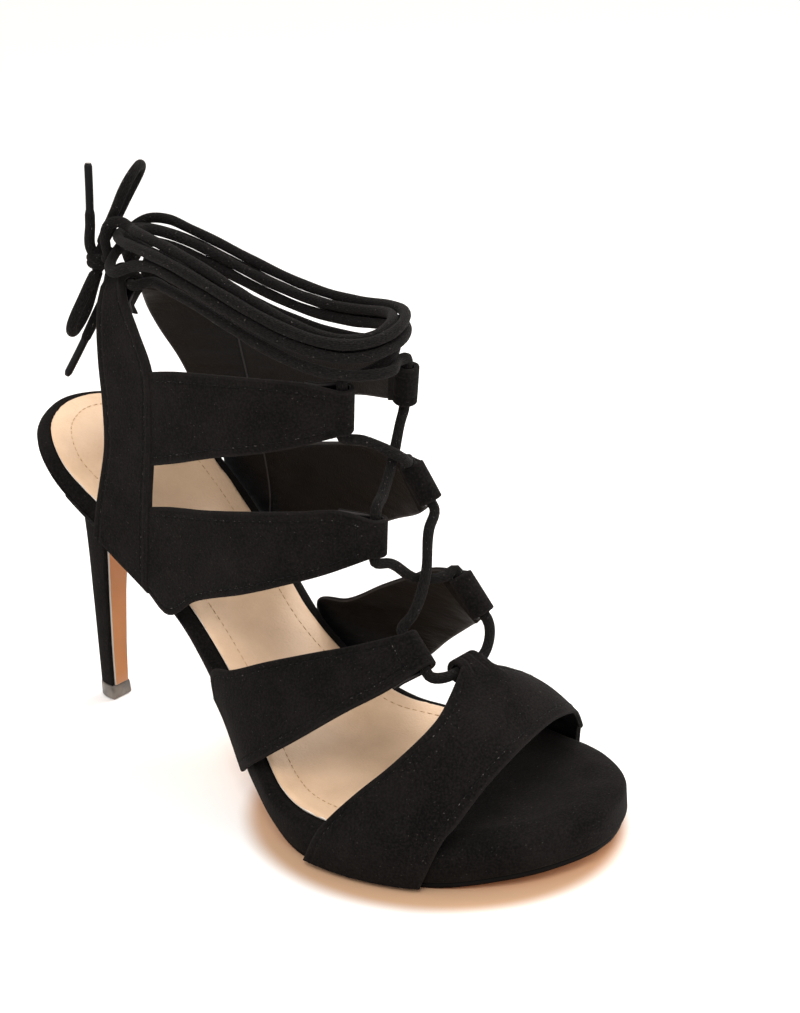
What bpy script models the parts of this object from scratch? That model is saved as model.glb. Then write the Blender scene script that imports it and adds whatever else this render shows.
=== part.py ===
"""A black suede lace-up sandal for the right foot: open toe, open back, thin high heel.

Every shape is worked out in the shoe's own sizes, in millimetres: side (positive towards the inner,
medial side of the foot), forward (from the back of the heel seat towards the toe) and up (from the
floor). to_metres() turns them into Blender's metres, with the toe towards -Y and the outer, lateral
side at -X. The origin is under the middle of the shoe, on the floor.
"""
import math

import bpy
import bmesh
import numpy as np

MM = 0.001

# Driving sizes, mm
MIDDLE_SIDE = -2.67         # the middle of the finished shoe's box
MIDDLE_FORWARD = 107.8
FIT_GAP = 0.3               # clearance between pieces that touch on the real shoe
SOLE_GAP = 0.5              # the same where two curved layers lie on each other
WALL = 1.5                  # upper: suede and lining together
CORD_DIAMETER = 3.2
TUNNEL_BORE = 4.3           # inside of the folded tunnel at a strap's end
OUTSOLE_THICKNESS = 1.6
OUTSOLE_INSET = 1.2
SOCK_INSET = 4.7            # from the sole's edge to the edge of the padded sock
SOCK_THICKNESS = 1.2
SOCK_FRONT = 177.0          # the sock ends under the vamp
RING_SPANS = 3              # steps round the sole's edge between two rows of its outline
EDGE_ROUND = 2.0            # radius of the suede turned over the sole's edge
HEEL_FRONT = 30.0           # where the heel's front face meets the sole
TOP_PIECE_HEIGHT = 5.0
HEEL_SIDES = 12             # steps round the back of the heel
HEEL_SEAT_INSET = 2.6       # from the sole's edge to the top of the heel
HEEL_FLARE_STEPS = 4        # sections between the stem and the seat
HEEL_FLARE_CURVE = 1.5      # how late the stem spreads to the seat
BREAST_THICKNESS = 0.6      # the cover on the heel's front face
BREAST_INSET = 0.7
SPINE_COLUMNS = 4           # spans across a spine or a strap
FOLD_STEPS = 6
STRAP_FOLD = 205.0          # degrees that a strap's end turns round the lace
TAB_FOLD = 232.0
FOLD_TAIL = (9.0, 12.5)     # the folded-back end is sewn down over this stretch
FOLD_CLEARANCE = 0.4        # between the folded-back end and the strap

# The edge of the sole in plan: half-widths on the outer and inner sides
OUTLINE = [
    # forward, outer, inner
    (1.2, 0.0, 0.0),
    (8.5, 18.2, 20.3),
    (27.0, 29.8, 29.7),
    (48.0, 26.8, 31.5),
    (69.5, 22.6, 28.5),
    (90.5, 25.9, 24.9),
    (110.4, 35.7, 27.9),
    (130.0, 44.7, 35.5),
    (150.6, 47.3, 41.5),
    (171.7, 43.7, 40.6),
    (191.7, 34.0, 34.6),
    (207.6, 18.3, 21.3),
    (214.4, 0.0, 0.0),
]

# The sole from the side: the top of the footbed and the underside of the platform
PROFILE = [
    # forward, footbed, underside
    (0.0, 109.5, 105.3),
    (22.0, 99.6, 95.6),
    (48.0, 77.3, 73.3),
    (70.0, 55.4, 51.0),
    (80.0, 45.7, 39.4),
    (90.0, 36.6, 28.0),
    (110.0, 21.6, 11.4),
    (125.0, 14.6, 5.6),
    (140.0, 12.6, 2.1),
    (160.0, 12.8, 2.1),
    (180.0, 14.0, 2.1),
    (200.0, 15.6, 4.4),
    (216.0, 17.7, 6.6),
]

# The heel's stem in level sections: its back, its front (breast) and half its width
STEM = [
    # up, back, front, half_width
    (5.3, 2.0, 10.4, 3.6),
    (20.0, 2.8, 12.0, 3.9),
    (40.0, 3.9, 14.8, 4.4),
    (58.0, 4.9, 18.0, 5.2),
    (73.0, 5.4, 21.5, 6.6),
]

# A strap's sections: one edge, then the other edge, each as out (from the middle plane), forward, up.
# A quarter's spine rises from the sole beside the heel; its back edge comes first.
OUTER_SPINE = [
    (28.8, 46.5, 87.0, 27.0, 65.5, 70.0),
    (28.2, 49.0, 95.0, 28.3, 71.0, 90.5),
    (27.8, 53.0, 107.0, 28.6, 74.5, 104.5),
    (26.8, 53.5, 120.0, 28.3, 77.0, 120.0),
    (24.8, 52.0, 134.0, 27.8, 77.5, 134.0),
    (22.3, 51.0, 146.5, 25.2, 70.6, 145.0),
    (19.3, 50.8, 154.5, 22.4, 64.0, 153.5),
]
INNER_SPINE = [
    (33.2, 39.5, 87.0, 32.0, 62.0, 71.0),
    (31.0, 37.5, 97.0, 31.0, 62.0, 92.0),
    (28.5, 35.0, 107.0, 30.2, 60.5, 107.0),
    (25.2, 31.5, 119.5, 29.6, 58.5, 121.0),
    (20.6, 28.6, 130.0, 28.0, 57.0, 134.0),
    (15.8, 29.0, 139.5, 23.5, 52.5, 144.0),
    (8.8, 35.6, 148.2, 18.0, 50.0, 149.0),
]

# A quarter's top and middle strap start between these rows of its spine
STRAP_STARTS = ((5, 3), (2, 0))

# The cross straps, from the spine to their ends; the top edge comes first
OUTER_TOP_STRAP = [
    (28.8, 85.0, 135.4, 28.8, 82.0, 106.4),
    (28.2, 100.0, 136.5, 28.6, 98.0, 110.5),
    (25.5, 118.0, 136.8, 26.0, 115.5, 114.0),
    (19.5, 132.0, 135.6, 20.3, 127.0, 116.3),
    (14.0, 140.5, 132.8, 12.0, 137.0, 118.8),
]
OUTER_MIDDLE_STRAP = [
    (28.5, 79.0, 92.0, 25.6, 68.5, 54.0),
    (28.6, 95.0, 94.0, 26.4, 84.0, 61.5),
    (27.5, 113.0, 96.5, 27.6, 106.0, 69.0),
    (24.5, 129.0, 98.5, 26.5, 124.0, 75.5),
    (19.5, 142.0, 99.5, 21.5, 139.0, 81.0),
    (15.2, 149.9, 96.6, 15.9, 149.0, 85.2),
]
INNER_TOP_STRAP = [
    (29.8, 70.0, 133.6, 30.2, 72.0, 108.8),
    (28.8, 92.0, 133.3, 29.0, 93.0, 113.2),
    (25.0, 113.0, 132.9, 25.8, 112.0, 117.0),
    (20.2, 129.5, 133.7, 21.3, 126.5, 119.2),
    (15.9, 142.6, 133.6, 16.9, 139.8, 122.0),
]
INNER_MIDDLE_STRAP = [
    (30.3, 75.0, 94.3, 29.6, 68.5, 54.0),
    (29.8, 90.0, 97.3, 29.3, 84.0, 61.0),
    (27.0, 106.0, 100.3, 28.5, 103.0, 70.0),
    (23.0, 121.0, 102.8, 25.5, 121.0, 78.0),
    (17.8, 132.5, 104.3, 20.0, 137.0, 85.0),
    (14.2, 142.8, 104.4, 15.2, 148.6, 93.6),
]
OUTER_FRONT_STRAP = [
    (28.2, 98.0, 42.8, 38.6, 121.5, 24.8),
    (27.6, 114.0, 49.2, 36.6, 136.0, 34.7),
    (24.6, 130.0, 54.6, 31.2, 148.0, 42.9),
    (19.6, 143.0, 58.2, 23.8, 158.0, 49.3),
    (11.8, 154.8, 61.6, 14.0, 163.6, 54.0),
]
INNER_FRONT_STRAP = [
    (26.0, 97.0, 46.0, 34.8, 121.0, 27.0),
    (25.6, 113.0, 54.2, 32.6, 134.0, 37.5),
    (23.0, 129.0, 62.2, 28.2, 147.0, 47.0),
    (18.6, 142.0, 68.8, 21.8, 156.5, 53.8),
    (16.8, 156.2, 71.2, 17.4, 164.0, 60.4),
]

# The vamp from the outer side over the toes to the inner side: its back edge, then its front edge
VAMP = [
    # side, forward, up, side, forward, up
    (-42.8, 160.0, 25.5, -35.8, 190.6, 21.5),
    (-35.5, 169.0, 34.8, -27.5, 193.4, 28.8),
    (-23.0, 174.0, 43.0, -15.0, 193.7, 32.8),
    (-7.5, 170.6, 47.6, -3.0, 192.8, 34.4),
    (6.5, 170.6, 47.8, 9.0, 191.2, 34.2),
    (19.0, 170.0, 41.2, 20.5, 188.6, 31.4),
    (29.6, 165.5, 34.0, 30.3, 184.0, 26.0),
    (37.2, 156.5, 25.2, 37.0, 181.0, 18.0),
]
VAMP_TAB_ROWS = (3, 4)      # the rows of VAMP between which the centre tab rises
VAMP_BULGE = 1.6            # how far the vamp's middle stands above a straight line across it
VAMP_COLUMNS = 8
TAB_SIDES = (-4.4, 4.9)
TAB_FORWARD = 169.2
TAB_UP = 51.6

# Where each piece of the upper meets the sole's edge: forward of its two lower corners
QUARTER_ROOT = {-1: (43.5, 61.5), 1: (40.5, 60.0)}
FRONT_STRAP_ROOT = {-1: (87.5, 105.5), 1: (84.0, 107.0)}
FRONT_STRAP_HIGH_ROOT = {-1: (88.0, 114.5), 1: (84.0, 112.0)}
VAMP_ROOT = {-1: (142.0, 180.5), 1: (139.0, 175.0)}
VAMP_HIGH_ROOT = {-1: (150.0, 187.0), 1: (147.0, 177.5)}

# The ring of lace around the ankle: an egg shape, narrower behind, that rises and falls as it goes round
RING_MIDDLE = 96.3
RING_HALF_LENGTH = 49.3
RING_HALF_WIDTH = 25.4
RING_TAPER = 0.15           # share by which its back is narrower and its front wider
RING_HEIGHT = 154.7
RING_BACK_RISE = 11.8
RING_OUTER_RISE = 7.3
RING_WAVES = (0.9, 1.4, -2.7)   # cosine of the double turn, sine of the double and of the triple turn
RING_STEP = 12.0            # degrees of turn between the points of the wound lace
TURN_RISE = 3.9             # from one turn of an end to its next, one above the other
LOWEST_TURN = -5.0          # the level at which the turns start
START_DROP = 1.3            # how much lower the first of them comes off the instep
LAYER_STEP = 1.8            # the inner end's turns lie this far outside the ring, the outer end's inside
LAYER_START = 90.0          # degrees of turn in which each end gets into its layer
HALF_TURNS = 5              # half turns that each end of the lace makes
WRAP_START = 24.0           # degrees past the front at which the ring of lace starts
WRAP_END = 36.0             # and before the back at which it leaves the ring for the knot
CLIMB = 30.0                # degrees of turn between a tunnel and the level over the other one
FRONT_LACE_STEP = 4.0

# The folded tops of the spines hold the lowest turn: the angles of their two edges, and where the
# lace runs in them against the ring
OUTER_TOP = {"angles": (27.0, 48.0), "level": -9.5, "radial": 1.2}
INNER_TOP = {"angles": (-34.0, -8.0), "level": -9.7, "radial": 1.5}

# One turn of the lace comes down over the top of the outer spine
SPINE_PASS = {"turn": 44.0, "reach": 24.0, "level": -4.4, "radial": 5.0}

LACE_SIDE_STEP = 1.9        # how far each of two crossing laces moves aside
HIGH_CROSSING_MOVE = (1.4, 1.8, -2.8)   # the slack lace crosses a little off the straight runs
LOW_CROSSING_MOVE = (-0.2, 0.2, -3.6)
MOUTH_REACH = 1.9           # how far the lace runs straight past a tunnel's mouth
MOUTH_TURN = 0.36           # and the share of its way to a crossing in which it turns there

# The bow behind the ankle: side, forward, up
KNOT = (-10.5, 41.2, 160.8)
KNOT_RADII = (4.8, 4.0, 3.0)
UPPER_LOOP = [(-9.9, 41.3, 165.2), (-2.5, 54.3, 188.8), (-7.5, 39.4, 164.7)]    # start, tip, finish
LOWER_LOOP = [(-13.0, 40.6, 157.0), (-18.0, 32.6, 138.4), (-10.4, 39.0, 156.8)]
LOOP_TURN = 6.4        # radius of a loop's turn at its tip, two cords
UPPER_END = [(-13.0, 39.9, 164.4), (-13.1, 41.1, 172.0), (-12.6, 41.9, 181.0), (-12.0, 42.4, 190.5)]
LOWER_END = [(-6.6, 41.0, 157.2), (-5.7, 35.5, 148.0), (-7.9, 31.0, 139.5), (-10.6, 26.0, 130.5),
             (-12.6, 19.8, 121.2)]

# How the two ends of the lace come down from the highest turn to the knot, on the ring
INNER_TAIL = [
    # turn, level, radial
    (-24.0, 4.8, 2.2),
    (-13.0, 3.2, 5.0),
    (-4.0, 0.0, 5.6),
    (2.0, -4.0, 5.9),
]
OUTER_TAIL = [
    (31.0, 5.8, 0.4),
    (28.0, 5.2, 4.0),
    (26.5, 2.2, 5.6),
    (25.5, -1.6, 5.8),
    (24.0, -5.4, 5.8),
]
TAIL_ENDS = {1: (5.5, 0.2, 0.4), -1: (-2.9, 4.4, 0.9)}  # from the knot's middle

# How each end of the lace crosses the front of the ankle before its first turn, on the ring
INNER_START = [(165.0, -7.0, -1.8), (180.0, -6.4, -1.8)]
OUTER_START = [(197.0, -8.6, -0.8), (180.0, -7.6, 1.9)]


# ---------------------------------------------------------------- curves and tables

def smooth_points(points, steps, closed=False):
    """Points, or rows of points, along a smooth curve through the given ones, with some steps a span."""
    points = np.array(points, float)
    if closed:
        points = np.concatenate([points[-1:], points, points[:2]])
    lengths = [np.linalg.norm(after - before) for before, after in zip(points, points[1:])]
    slopes = [(points[k + 1] - points[k]) / length for k, length in enumerate(lengths)]
    tangents = [slopes[0]]
    for k in range(1, len(lengths)):
        before, after = lengths[k - 1], lengths[k]
        tangents.append((slopes[k - 1] * after + slopes[k] * before) / (before + after))
    tangents.append(slopes[-1])
    out = []
    for k in range(1, len(lengths) - 1) if closed else range(len(lengths)):
        for step in range(steps):
            t = step / steps
            along = (t ** 3 - 2 * t ** 2 + t) * tangents[k] + (t ** 3 - t ** 2) * tangents[k + 1]
            share = 3 * t ** 2 - 2 * t ** 3
            out.append((1 - share) * points[k] + share * points[k + 1] + lengths[k] * along)
    if not closed:
        out.append(points[-1])
    return np.array(out)


def even_points(points, step):
    """The same curve with its points about one step apart."""
    points = np.array(points, float)
    lengths = np.linalg.norm(np.diff(points, axis=0), axis=1)
    travel = np.concatenate([[0.0], np.cumsum(lengths)])
    count = max(2, int(round(travel[-1] / step)) + 1)
    where = np.linspace(0.0, travel[-1], count)
    return np.stack([np.interp(where, travel, points[:, k]) for k in range(3)], axis=1)


def table_value(table, column, forward):
    """A value between a table's rows, on a curve that never runs past them."""
    places = np.array([row[0] for row in table])
    values = np.array([row[column] for row in table])
    slopes = np.diff(values) / np.diff(places)
    tangents = np.zeros(len(table))
    for k in range(1, len(table) - 1):
        if slopes[k - 1] * slopes[k] > 0:
            tangents[k] = 2 * slopes[k - 1] * slopes[k] / (slopes[k - 1] + slopes[k])
    tangents[0] = slopes[0]
    tangents[-1] = slopes[-1]
    forward = min(max(forward, places[0]), places[-1])
    k = min(int(np.searchsorted(places, forward, side="right")) - 1, len(table) - 2)
    width = places[k + 1] - places[k]
    t = (forward - places[k]) / width
    along = (t ** 3 - 2 * t ** 2 + t) * tangents[k] + (t ** 3 - t ** 2) * tangents[k + 1]
    share = 3 * t ** 2 - 2 * t ** 3
    return float((1 - share) * values[k] + share * values[k + 1] + width * along)


def footbed(forward):
    return table_value(PROFILE, 1, forward)


def underside(forward):
    return table_value(PROFILE, 2, forward)


def outline(inset=0.0, steps=2):
    """The sole's edge as side and forward pairs: from the heel along the outer side to the toe, and back."""
    outer = [(-row[1], row[0]) for row in OUTLINE]
    inner = [(row[2], row[0]) for row in OUTLINE[-2:0:-1]]
    edge = smooth_points(outer + inner, steps, closed=True)
    along = np.roll(edge, -1, axis=0) - np.roll(edge, 1, axis=0)
    along /= np.linalg.norm(along, axis=1)[:, None]
    inward = np.stack([along[:, 1], -along[:, 0]], axis=1)
    return edge + inward * inset


def edge_side(sign, forward, proud):
    """How far out the sole's edge is on one side, with a strap standing proud of it."""
    edge = outline(-proud, 8)
    half = len(edge) // 2
    line = edge[:half + 1] if sign < 0 else edge[half:][::-1]
    return float(np.interp(forward, line[:, 1], line[:, 0]))


# ---------------------------------------------------------------- Blender objects

def bow_loop(start, tip, finish):
    """Points along a loop of the bow: two legs out of the knot and a round turn at its tip."""
    start, tip, finish = (np.array(point) for point in (start, tip, finish))
    along = unit(tip - (start + finish) / 2)
    across = start - finish
    across = unit(across - along * (along @ across))
    middle = tip - along * LOOP_TURN
    turn = [middle + LOOP_TURN * (across * math.cos(angle) + along * math.sin(angle))
            for angle in np.radians(np.arange(-10.0, 191.0, 20.0))]
    return [start, (start * 2 + turn[0]) / 3, (start + turn[0] * 2) / 3, *turn,
            (turn[-1] * 2 + finish) / 3, (turn[-1] + finish * 2) / 3, finish]


def to_metres(points):
    points = np.array(points, float)
    moved = np.stack([points[:, 0] - MIDDLE_SIDE, MIDDLE_FORWARD - points[:, 1], points[:, 2]], axis=1)
    return moved * MM


def make_material(name, colour, roughness, metallic=0.0):
    material = bpy.data.materials.new(name)
    material.use_nodes = True
    shader = material.node_tree.nodes["Principled BSDF"]
    shader.inputs["Base Color"].default_value = (*colour, 1.0)
    shader.inputs["Roughness"].default_value = roughness
    shader.inputs["Metallic"].default_value = metallic
    return material


def add_object(name, data, material, collection, shoe):
    piece = bpy.data.objects.new(name, data)
    data.materials.append(material)
    collection.objects.link(piece)
    piece.parent = shoe
    return piece


def closed_mesh(name, mesh):
    """Blender mesh data with its faces pointing out."""
    bmesh.ops.recalc_face_normals(mesh, faces=mesh.faces)
    data = bpy.data.meshes.new(name)
    mesh.to_mesh(data)
    mesh.free()
    data.shade_smooth()
    data.set_sharp_from_angle(angle=math.radians(40.0))
    return data


def fill_across(mesh, ring):
    """Close a ring of the sole with strips from its outer side to its inner side."""
    count = len(ring)
    for k in range(count // 2):
        corners = [ring[k], ring[k + 1], ring[(count - k - 1) % count], ring[(count - k) % count]]
        unique = [corner for i, corner in enumerate(corners) if corner not in corners[:i]]
        mesh.faces.new(unique)


def stacked_rings(name, rings):
    """A closed body through rings with the same number of points, filled across at both ends."""
    mesh = bmesh.new()
    rows = [[mesh.verts.new(point) for point in to_metres(ring)] for ring in rings]
    for low, high in zip(rows, rows[1:]):
        for k in range(len(low)):
            after = (k + 1) % len(low)
            mesh.faces.new((low[k], low[after], high[after], high[k]))
    fill_across(mesh, rows[0])
    fill_across(mesh, rows[-1])
    return closed_mesh(name, mesh)


def sole_ring(inset, height):
    """A ring around the sole at a height that depends on how far forward it is."""
    return [(side, forward, height(forward)) for side, forward in outline(inset, RING_SPANS)]


# ---------------------------------------------------------------- sole and heel

def platform_mesh():
    """The suede-covered board under the foot, from the heel seat to the rounded toe."""
    round_part = EDGE_ROUND * (1 - math.cos(math.radians(45.0)))
    return stacked_rings("platform", [
        sole_ring(1.0, underside),
        sole_ring(0.0, lambda forward: underside(forward) + 1.0),
        sole_ring(0.0, lambda forward: footbed(forward) - EDGE_ROUND),
        sole_ring(round_part, lambda forward: footbed(forward) - round_part),
        sole_ring(EDGE_ROUND, footbed),
        sole_ring(SOCK_INSET + 1.0, footbed),
    ])


def slab(name, inset, start, end, low, high, ribs=44):
    """A thin layer of the sole between two places along the shoe, in straight ribs across it."""
    edge = outline(inset, 8)
    half = len(edge) // 2
    outer = edge[:half + 1]
    inner = np.vstack([edge[half:], edge[:1]])[::-1]
    mesh = bmesh.new()
    rows = []
    for k in range(ribs + 1):
        forward = start + (end - start) * (1 - math.cos(math.pi * k / ribs)) / 2
        left = float(np.interp(forward, outer[:, 1], outer[:, 0]))
        right = float(np.interp(forward, inner[:, 1], inner[:, 0]))
        rib = [(left, forward, low(forward)), (right, forward, low(forward)),
               (right, forward, high(forward)), (left, forward, high(forward))]
        rows.append([mesh.verts.new(point) for point in to_metres(rib)])
    for before, after in zip(rows, rows[1:]):
        for k in range(4):
            mesh.faces.new((before[k], before[(k + 1) % 4], after[(k + 1) % 4], after[k]))
    mesh.faces.new(rows[0])
    mesh.faces.new(rows[-1])
    return closed_mesh(name, mesh)


def outsole_mesh():
    """The thin sole under the forefoot and the waist, up to the heel's front."""
    return slab("outsole", OUTSOLE_INSET, HEEL_FRONT + BREAST_THICKNESS + 2 * FIT_GAP,
                OUTLINE[-1][0] - OUTSOLE_INSET - FIT_GAP,
                lambda forward: underside(forward) - SOLE_GAP - OUTSOLE_THICKNESS,
                lambda forward: underside(forward) - SOLE_GAP)


def insole_mesh():
    """The padded sock that the foot stands on."""
    return slab("insole", SOCK_INSET, OUTLINE[0][0] + SOCK_INSET + FIT_GAP, SOCK_FRONT,
                lambda forward: footbed(forward) + SOLE_GAP,
                lambda forward: footbed(forward) + SOLE_GAP + SOCK_THICKNESS)


def heel_section(back, front, half_width, up):
    """A level section of the heel: round at the back, straight across the front."""
    points = []
    for k in range(HEEL_SIDES + 1):
        turn = math.pi * k / HEEL_SIDES
        points.append((-half_width * math.cos(turn), front - (front - back) * math.sin(turn) ** 0.8, up))
    return np.array(points)


def heel_sections():
    """The heel from its tip to the seat, where it spreads to the edge of the sole."""
    sections = [heel_section(back, front, half_width, up) for up, back, front, half_width in STEM]
    seat = heel_section(OUTLINE[0][0] + HEEL_SEAT_INSET, HEEL_FRONT, 1.0, 0.0)
    for point in seat:
        point[0] = edge_side(math.copysign(1.0, point[0]), point[1], -HEEL_SEAT_INSET)
        point[2] = underside(point[1]) - SOLE_GAP
    for step in range(1, HEEL_FLARE_STEPS + 1):
        rise = step / HEEL_FLARE_STEPS
        spread = rise ** HEEL_FLARE_CURVE
        section = sections[len(STEM) - 1] * (1 - spread) + seat * spread
        section[:, 2] = STEM[-1][0] * (1 - rise) + seat[:, 2] * rise
        sections.append(section)
    return sections


def heel_mesh():
    return stacked_rings("heel", heel_sections())


def top_piece_mesh():
    """The hard tip under the heel, a little wider than the stem."""
    back, front, half_width = STEM[0][1:]
    layers = [(0.0, 0.1), (0.6, 0.4), (TOP_PIECE_HEIGHT - 0.4, 0.4), (TOP_PIECE_HEIGHT, 0.2)]
    return stacked_rings("top_piece", [
        heel_section(back - spread, front + spread, half_width + spread, up) for up, spread in layers
    ])


def breast_rows():
    """The thin cover that runs down the heel's front from the outsole."""
    rows = []
    stand_off = np.array([0.0, SOLE_GAP + BREAST_THICKNESS / 2, 0.0])
    inset = np.array([BREAST_INSET, 0.0, 0.0])
    for section in heel_sections():
        left, right = section[0], section[-1]
        rows.append([left + inset + stand_off, (left + right) / 2 + stand_off, right - inset + stand_off])
    rows[-1] = [point - np.array([0.0, 0.0, BREAST_THICKNESS]) for point in rows[-1]]
    return np.array(rows)


# ---------------------------------------------------------------- upper

def across(first, last, columns, bulge=0.0):
    """Points across a strap, with its middle lifted by the bulge."""
    first, last = np.array(first, float), np.array(last, float)
    share = np.linspace(0.0, 1.0, columns + 1)[:, None]
    return first * (1 - share) + last * share + np.array([0.0, 0.0, bulge]) * np.sin(math.pi * share)


def section_rows(table, sign, columns):
    """The rows of a strap's table on the outer (-1) or inner (1) side."""
    return [across((sign * out_a, forward_a, up_a), (sign * out_b, forward_b, up_b), columns)
            for out_a, forward_a, up_a, out_b, forward_b, up_b in table]


def root_row(sign, corners, columns, up):
    """A row that follows the sole's edge between two corners."""
    proud = SOLE_GAP + WALL / 2
    return np.array([(edge_side(sign, forward, proud), forward, up(forward))
                     for forward in np.linspace(corners[0], corners[1], columns + 1)])


def unit(vectors):
    return vectors / np.linalg.norm(vectors, axis=-1, keepdims=True)


def rows_before_end(rows, distances):
    """The rows of a sheet, cut back and filled in so that its last ones lie at these distances."""
    rows = np.array(rows)
    steps = np.linalg.norm(np.diff(rows[::-1], axis=0), axis=2)
    travel = np.vstack([np.zeros(rows.shape[1]), np.cumsum(steps, axis=0)])
    kept = [row for row, reach in zip(rows, travel[::-1]) if reach.mean() > max(distances) + 3.0]
    for distance in sorted(distances, reverse=True):
        kept.append(np.array([[np.interp(distance, travel[:, k], rows[::-1, k, axis]) for axis in range(3)]
                              for k in range(rows.shape[1])]))
    return kept + [rows[-1]]


def inward_normal(rows, k, inside):
    """The direction towards the foot at one row of a sheet."""
    normal = unit(np.cross((rows[k] - rows[k - 1]).mean(axis=0), rows[k][-1] - rows[k][0]))
    return normal * np.sign(normal @ (np.array(inside) - rows[k].mean(axis=0)))


def folded_end(rows, inside, fold=STRAP_FOLD):
    """A strap's rows with its end turned back into a tunnel, and the tunnel's middle line."""
    rows = rows_before_end(rows, FOLD_TAIL)
    radius = TUNNEL_BORE / 2 + WALL / 2
    normal = inward_normal(rows, len(rows) - 1, inside)
    along = unit(np.cross(normal, rows[-1][-1] - rows[-1][0]))
    along *= np.sign(along @ (rows[-1] - rows[-2]).mean(axis=0))
    middle = rows[-1] + normal * radius
    turned = []
    for step in range(1, FOLD_STEPS + 1):
        turn = math.radians(fold * step / FOLD_STEPS)
        turned.append(middle + radius * (along * math.sin(turn) - normal * math.cos(turn)))
    for k in (len(rows) - 2, len(rows) - 3):
        turned.append(rows[k] + inward_normal(rows, k, inside) * (WALL + FOLD_CLEARANCE))
    return rows + turned, middle


def sheet_object(name, grids, thickness, material, collection, shoe):
    """A wall of even thickness on grids of points that share their meeting edges."""
    mesh = bmesh.new()
    for grid in grids:
        rows = [[mesh.verts.new(point) for point in to_metres(row)] for row in grid]
        for before, after in zip(rows, rows[1:]):
            for k in range(len(before) - 1):
                mesh.faces.new((before[k], before[k + 1], after[k + 1], after[k]))
    bmesh.ops.remove_doubles(mesh, verts=mesh.verts, dist=0.01 * MM)
    piece = add_object(name, closed_mesh(name, mesh), material, collection, shoe)
    wall = piece.modifiers.new("wall", "SOLIDIFY")
    wall.thickness = thickness * MM
    wall.offset = 0.0
    wall.use_even_offset = True
    return piece


def quarter(sign, spine, top, straps):
    """One side's back part: a spine folded over the lowest turn of lace, and two straps to the instep.

    It gives the grids of the wall and the middle lines of its three tunnels: spine, top, middle.
    """
    low = root_row(sign, QUARTER_ROOT[sign], SPINE_COLUMNS, lambda forward: underside(forward) - 1.0)
    radius = TUNNEL_BORE / 2 + WALL / 2
    ends = [ring_point(turn, top["level"], top["radial"] + radius) for turn in top["angles"]]
    if sign > 0:
        ends.reverse()
    rows = smooth_points([low] + section_rows(spine, sign, SPINE_COLUMNS)
                         + [across(ends[0], ends[1], SPINE_COLUMNS)], 2)
    folded, middle = folded_end(rows, (0.0, RING_MIDDLE, ends[0][2]))
    grids, middles = [folded], [middle]
    for table, (first, last) in zip(straps, STRAP_STARTS):
        shared = rows[2 * first:2 * last - 1:-1, -1] if last else rows[2 * first::-1, -1]
        strap = smooth_points([shared] + section_rows(table, sign, len(shared) - 1), 2)
        folded, middle = folded_end(strap, (0.0, RING_MIDDLE, strap[-1][0][2]))
        grids.append(folded)
        middles.append(middle)
    return grids, middles


def front_strap(sign, table):
    """A cross strap that rises from the sole's edge to the instep, and its tunnel's middle line."""
    low, high = FRONT_STRAP_ROOT[sign], FRONT_STRAP_HIGH_ROOT[sign]
    roots = [root_row(sign, low, SPINE_COLUMNS, lambda forward: underside(forward) - 1.0),
             root_row(sign, high, SPINE_COLUMNS, lambda forward: footbed(forward) + 1.0)]
    rows = smooth_points(roots + section_rows(table, sign, SPINE_COLUMNS), 2)
    return folded_end(rows, (0.0, RING_MIDDLE, rows[-1][0][2]))


def vamp():
    """The band over the toes, with its centre tab folded round the lace."""
    def edge_rows(sign):
        low = root_row(sign, VAMP_ROOT[sign], VAMP_COLUMNS, lambda forward: underside(forward) - 0.9)
        high = root_row(sign, VAMP_HIGH_ROOT[sign], VAMP_COLUMNS, lambda forward: footbed(forward) + 1.5)
        return [low, high]

    sections = [across(row[:3], row[3:], VAMP_COLUMNS, VAMP_BULGE) for row in VAMP]
    rows = smooth_points(edge_rows(-1) + sections + edge_rows(1)[::-1], 2)
    first, last = (2 * (k + 2) for k in VAMP_TAB_ROWS)
    under_tab = [rows[first:last + 1, k] for k in range(VAMP_COLUMNS // 2 + 1, -1, -1)]
    base = under_tab[-1]
    raised = np.array([(side, TAB_FORWARD, TAB_UP) for side in np.linspace(*TAB_SIDES, len(base))])
    folded, middle = folded_end(under_tab + [raised], (0.0, 0.0, base[0][2] - 40.0), TAB_FOLD)
    tab = [base] + folded[-FOLD_STEPS - 3:]
    return [rows, tab], middle


# ---------------------------------------------------------------- lace

def ring_point(turn, level=0.0, radial=0.0):
    """A point of the ring: turn is 0 degrees at the back, 90 on the outer side, 180 in front."""
    angle = math.radians(turn)
    width = RING_HALF_WIDTH * (1 - RING_TAPER * math.cos(angle))
    outward = unit(np.array([-math.sin(angle) / width, -math.cos(angle) / RING_HALF_LENGTH]))
    side = -width * math.sin(angle) + outward[0] * radial
    forward = RING_MIDDLE - RING_HALF_LENGTH * math.cos(angle) + outward[1] * radial
    double_cos, double_sin, triple_sin = RING_WAVES
    up = (RING_HEIGHT + RING_BACK_RISE * math.cos(angle) + RING_OUTER_RISE * math.sin(angle)
          + double_cos * math.cos(2 * angle) + double_sin * math.sin(2 * angle)
          + triple_sin * math.sin(3 * angle) + level)
    return np.array([side, forward, up])


def ease(value):
    value = min(max(value, 0.0), 1.0)
    return value * value * (3 - 2 * value)


def tunnel_line(middle, start_first=True):
    """The lace's straight way through a tunnel, a little past both of its mouths."""
    ends = (middle[0], middle[-1]) if start_first else (middle[-1], middle[0])
    way = unit(ends[1] - ends[0]) * MOUTH_REACH
    return [ends[0] - way, ends[0], ends[1], ends[1] + way]


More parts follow.
